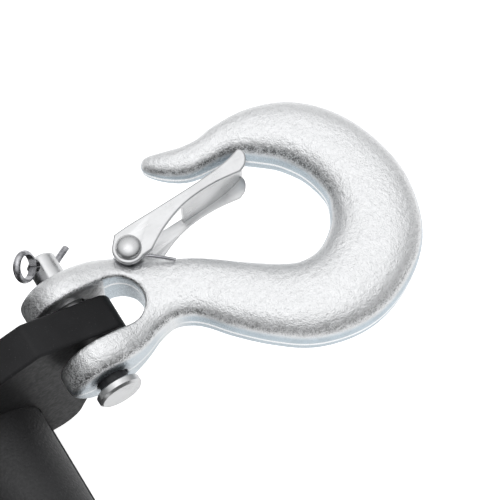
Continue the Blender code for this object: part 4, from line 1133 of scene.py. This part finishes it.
class WINCH_OT_grip(bpy.types.Operator):
    """Mould the ribbed grip and fit its axle, washer and dome nut"""
    bl_idname = "winch.grip"
    bl_label = "Grip"

    def execute(self, context):
        low, high = ends("handle_grip")
        radius, bore, long = span("handle_grip").x / 2, GRIP_STEM + GAP, high - low
        profile = []
        for r, t in smooth_path([(r, t) for t, r in GRIP_SWELL], 12):
            ribs = fade(t, GRIP_RIBBED[0], 0.03) * fade(GRIP_RIBBED[1] - t, 0, 0.03)
            dip = GRIP_RIB_DEPTH * ribs * (0.5 - 0.5 * math.cos(2 * math.pi * t * GRIP_RIBS)) ** 3
            profile.append((min(r, 1) * radius - dip, high - long * t))
        profile += [(bore, low), (bore, high), profile[0]]
        finished(turned("ribbed_grip", profile, GRIP, SIDEWAYS, 72, 50), "handle_grip")

        end, inside = ends("grip_axle")
        head, stem = span("grip_axle").x / 2, GRIP_STEM
        under = inside - 3 * MM
        profile = dome(head, 2.4 * MM, under + 0.6 * MM, 10)
        profile += [(head, under + 0.3 * MM), (head - 0.3 * MM, under), (stem, under), (stem, end + MM),
                    (stem - MM, end), (0, end)]
        spun("grip_axle", profile, GRIP)
        ringed("grip_washer", stem + GAP, 0.3 * MM)

        low, high = ends("grip_cap_nut")
        cap = hexed("fine_cap_nut", GRIP, high - 6 * MM, high, *hex_size("grip_cap_nut"))
        radius, base = 5.6 * MM, high - 5.5 * MM
        crown = dome(radius, low - base, base)[:0:-1]
        join(cap, turned("dome", [(0, high - 3 * MM), (radius, high - 3 * MM), *crown, (0, low)],
                         GRIP, SIDEWAYS, 64))
        cut(cap, peg("bore", GRIP, SIDEWAYS, high - 7.6 * MM, high + MM, stem + GAP))
        finished(tidy_mesh(cap, 30), "grip_cap_nut")
        return {"FINISHED"}


# ---------------------------------------------------------------- pawl

class WINCH_OT_pawl(bpy.types.Operator):
    """Ease the pawl's edges, turn its pin and wind its spring"""
    bl_idname = "winch.pawl"
    bl_label = "Pawl"

    def execute(self, context):
        s = sizes()
        eased_copy("ratchet_pawl", 0.35 * MM, [(PAWL, M8 + FINE_GAP)])
        low, high = ends("pawl_pin")
        head, stem = span("pawl_pin").x / 2, M8
        profile = [(0, low), (head - 1.2 * MM, low), (head - 0.4 * MM, low + 0.4 * MM), (head, low + 1.2 * MM),
                   (head, low + 2.8 * MM), (head - 0.2 * MM, low + 3 * MM), (stem, low + 3 * MM)]
        profile += thread(stem, high - 10 * MM, high - 0.6 * MM) + [(stem - 0.8 * MM, high), (0, high)]
        spun("pawl_pin", profile, PAWL, 48)

        near, far = ends("pawl_spring")
        wire = s.pawl_wire
        mean, start, end = stem + GAP + wire, near + wire, far - wire
        points = [Vector((-12 * MM, start, -mean))]
        points += [Vector((x, y, z)) for x, z, y in coil(mean, -90, 2, start, end, 110)]
        points.append(Vector((13 * MM, end, -mean)))
        finished(wound("fine_pawl_spring", [PAWL + p for p in points], wire), "pawl_spring")
        return {"FINISHED"}


# ---------------------------------------------------------------- finishes on the frame's own nodes

FINISH_OF_SLOT = {"black_coat": speckled_coat, "bright_zinc": bright_zinc, "forged_zinc": forged_zinc,
                  "dark_steel": dark_steel, "bronze": bronze, "spring_steel": spring_steel,
                  "black_rubber": black_rubber}


class WINCH_OT_finishes(bpy.types.Operator):
    """Give the frame's own nodes the same finishes, for when one is shown in place of its fine piece"""
    bl_idname = "winch.finishes"
    bl_label = "Finishes"

    def execute(self, context):
        for name, obj in frame["nodes"].items():
            if SLOTS[name] not in FINISH_OF_SLOT:
                raise RuntimeError(f"{name} has no known finish: {SLOTS[name]}")
            for place in obj.material_slots:
                place.material = FINISH_OF_SLOT[SLOTS[name]]()
        return {"FINISHED"}


# ---------------------------------------------------------------- floor, light and camera

CAMERA_TARGET = Vector((57.0, -3.2, 0)) * MM     # from the clevis pin
CAMERA_FROM = Vector((-0.194, -0.321, 0.927))
CAMERA_DISTANCE, CAMERA_LENS, CAMERA_SENSOR = 0.75, 176, 36
SKY_TOP = Vector((0.10, 0.20, 0.90))             # where the room is brightest
SKY_BLACK, SKY_WHITE = (0.02, 0.022, 0.025, 1), (1.12, 1.12, 1.13, 1)
SKY_STEPS = ((0.2, 0.07), (0.42, 0.42), (0.7, 0.85))
FLOOR_GLOW = (0.42, 0.85)                        # on the object, and as the camera sees it
LAMP_PLACE, LAMP_SIZE, LAMP_WATTS = Vector((0.0, 0.1, 1.2)), 0.9, 1.2


class WINCH_OT_stage(bpy.types.Operator):
    """Lay the pale floor, hang the lights and set up the camera"""
    bl_idname = "winch.stage"
    bl_label = "Stage"

    def execute(self, context):
        scene = context.scene
        deselect()
        bpy.ops.mesh.primitive_plane_add(size=6, location=(0, 0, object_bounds()[0][2] - 0.0005))
        floor = bpy.context.object
        floor.name = "studio_floor"
        n = Nodes("studio_floor")
        n.set(Base_Color=(0.9, 0.9, 0.9, 1), Roughness=0.9)
        seen = n.tree.nodes.new("ShaderNodeLightPath").outputs["Is Camera Ray"]
        n.set(**{"Emission_Color": (1, 1, 1, 1), "Emission_Strength": n.ramp(seen, 0, 1, *FLOOR_GLOW)})
        dress(floor, n.material)
        floor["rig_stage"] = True

        world = bpy.data.worlds.new("studio")
        scene.world = world
        world.use_nodes = True
        tree = world.node_tree
        tree.nodes.clear()
        put = tree.links.new
        output = tree.nodes.new("ShaderNodeOutputWorld")
        direction = tree.nodes.new("ShaderNodeTexCoord").outputs["Generated"]
        dot = tree.nodes.new("ShaderNodeVectorMath")
        dot.operation = "DOT_PRODUCT"
        put(direction, dot.inputs[0])
        dot.inputs[1].default_value = SKY_TOP.normalized()
        ramp = tree.nodes.new("ShaderNodeValToRGB")
        put(dot.outputs["Value"], ramp.inputs["Fac"])
        stops = ramp.color_ramp.elements
        stops[0].position, stops[0].color = 0.0, SKY_BLACK
        stops[1].position, stops[1].color = 1.0, SKY_WHITE
        for position, value in SKY_STEPS:
            stop = stops.new(position)
            stop.color = (value, value * 1.01, value * 1.02, 1)
        sky = tree.nodes.new("ShaderNodeBackground")
        put(ramp.outputs["Color"], sky.inputs["Color"])
        white = tree.nodes.new("ShaderNodeBackground")
        white.inputs["Color"].default_value = (1, 1, 1, 1)
        seen = tree.nodes.new("ShaderNodeLightPath").outputs["Is Camera Ray"]
        choose = tree.nodes.new("ShaderNodeMixShader")
        put(seen, choose.inputs["Fac"])
        put(sky.outputs[0], choose.inputs[1])
        put(white.outputs[0], choose.inputs[2])
        put(choose.outputs[0], output.inputs["Surface"])

        lamp = bpy.data.lights.new("overhead_softbox", "AREA")
        lamp.shape, lamp.size, lamp.energy = "DISK", LAMP_SIZE, LAMP_WATTS
        lamp_obj = bpy.data.objects.new("overhead_softbox", lamp)
        scene.collection.objects.link(lamp_obj)
        lamp_obj.location = PIN + LAMP_PLACE
        lamp_obj.rotation_euler = (PIN - lamp_obj.location).to_track_quat("-Z", "Y").to_euler()

        camera = bpy.data.cameras.new("camera")
        camera.sensor_width, camera.lens = CAMERA_SENSOR, CAMERA_LENS
        camera_obj = bpy.data.objects.new("camera", camera)
        scene.collection.objects.link(camera_obj)
        aim = PIN + CAMERA_TARGET
        camera_obj.location = aim + CAMERA_FROM.normalized() * CAMERA_DISTANCE
        camera_obj.rotation_euler = (aim - camera_obj.location).to_track_quat("-Z", "Y").to_euler()
        scene.camera = camera_obj
        scene.view_settings.view_transform = "Standard"
        return {"FINISHED"}


# ---------------------------------------------------------------- panel and registration

STEPS = (WINCH_OT_hook, WINCH_OT_latch, WINCH_OT_pin, WINCH_OT_anchor, WINCH_OT_frame, WINCH_OT_bolts,
         WINCH_OT_drum, WINCH_OT_crank, WINCH_OT_grip, WINCH_OT_pawl, WINCH_OT_finishes, WINCH_OT_stage)


class WINCH_PT_pieces(bpy.types.Panel):
    """Lists the winch's pieces"""
    bl_idname = "WINCH_PT_pieces"
    bl_label = "Trailer winch"
    bl_space_type = "VIEW_3D"
    bl_region_type = "UI"
    bl_category = "Winch"

    def draw(self, context):
        for step in STEPS:
            self.layout.operator(step.bl_idname)
        for group in (context.scene.winch_sizes, context.scene.winch_finishes):
            for key in group.bl_rna.properties.keys():
                if key not in ("rna_type", "name"):
                    self.layout.prop(group, key)


CLASSES = (WinchSizes, WinchFinishes, *STEPS, WINCH_PT_pieces)


def register():
    for cls in CLASSES:
        bpy.utils.register_class(cls)
    bpy.types.Scene.winch_sizes = PointerProperty(type=WinchSizes)
    bpy.types.Scene.winch_finishes = PointerProperty(type=WinchFinishes)


def unregister():
    del bpy.types.Scene.winch_finishes
    del bpy.types.Scene.winch_sizes
    for cls in reversed(CLASSES):
        bpy.utils.unregister_class(cls)


def main():
    register()
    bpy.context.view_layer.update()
    for step in STEPS:
        area, name = step.bl_idname.split(".")
        getattr(getattr(bpy.ops, area), name)()
    deselect()


if __name__ == "__main__":
    main()
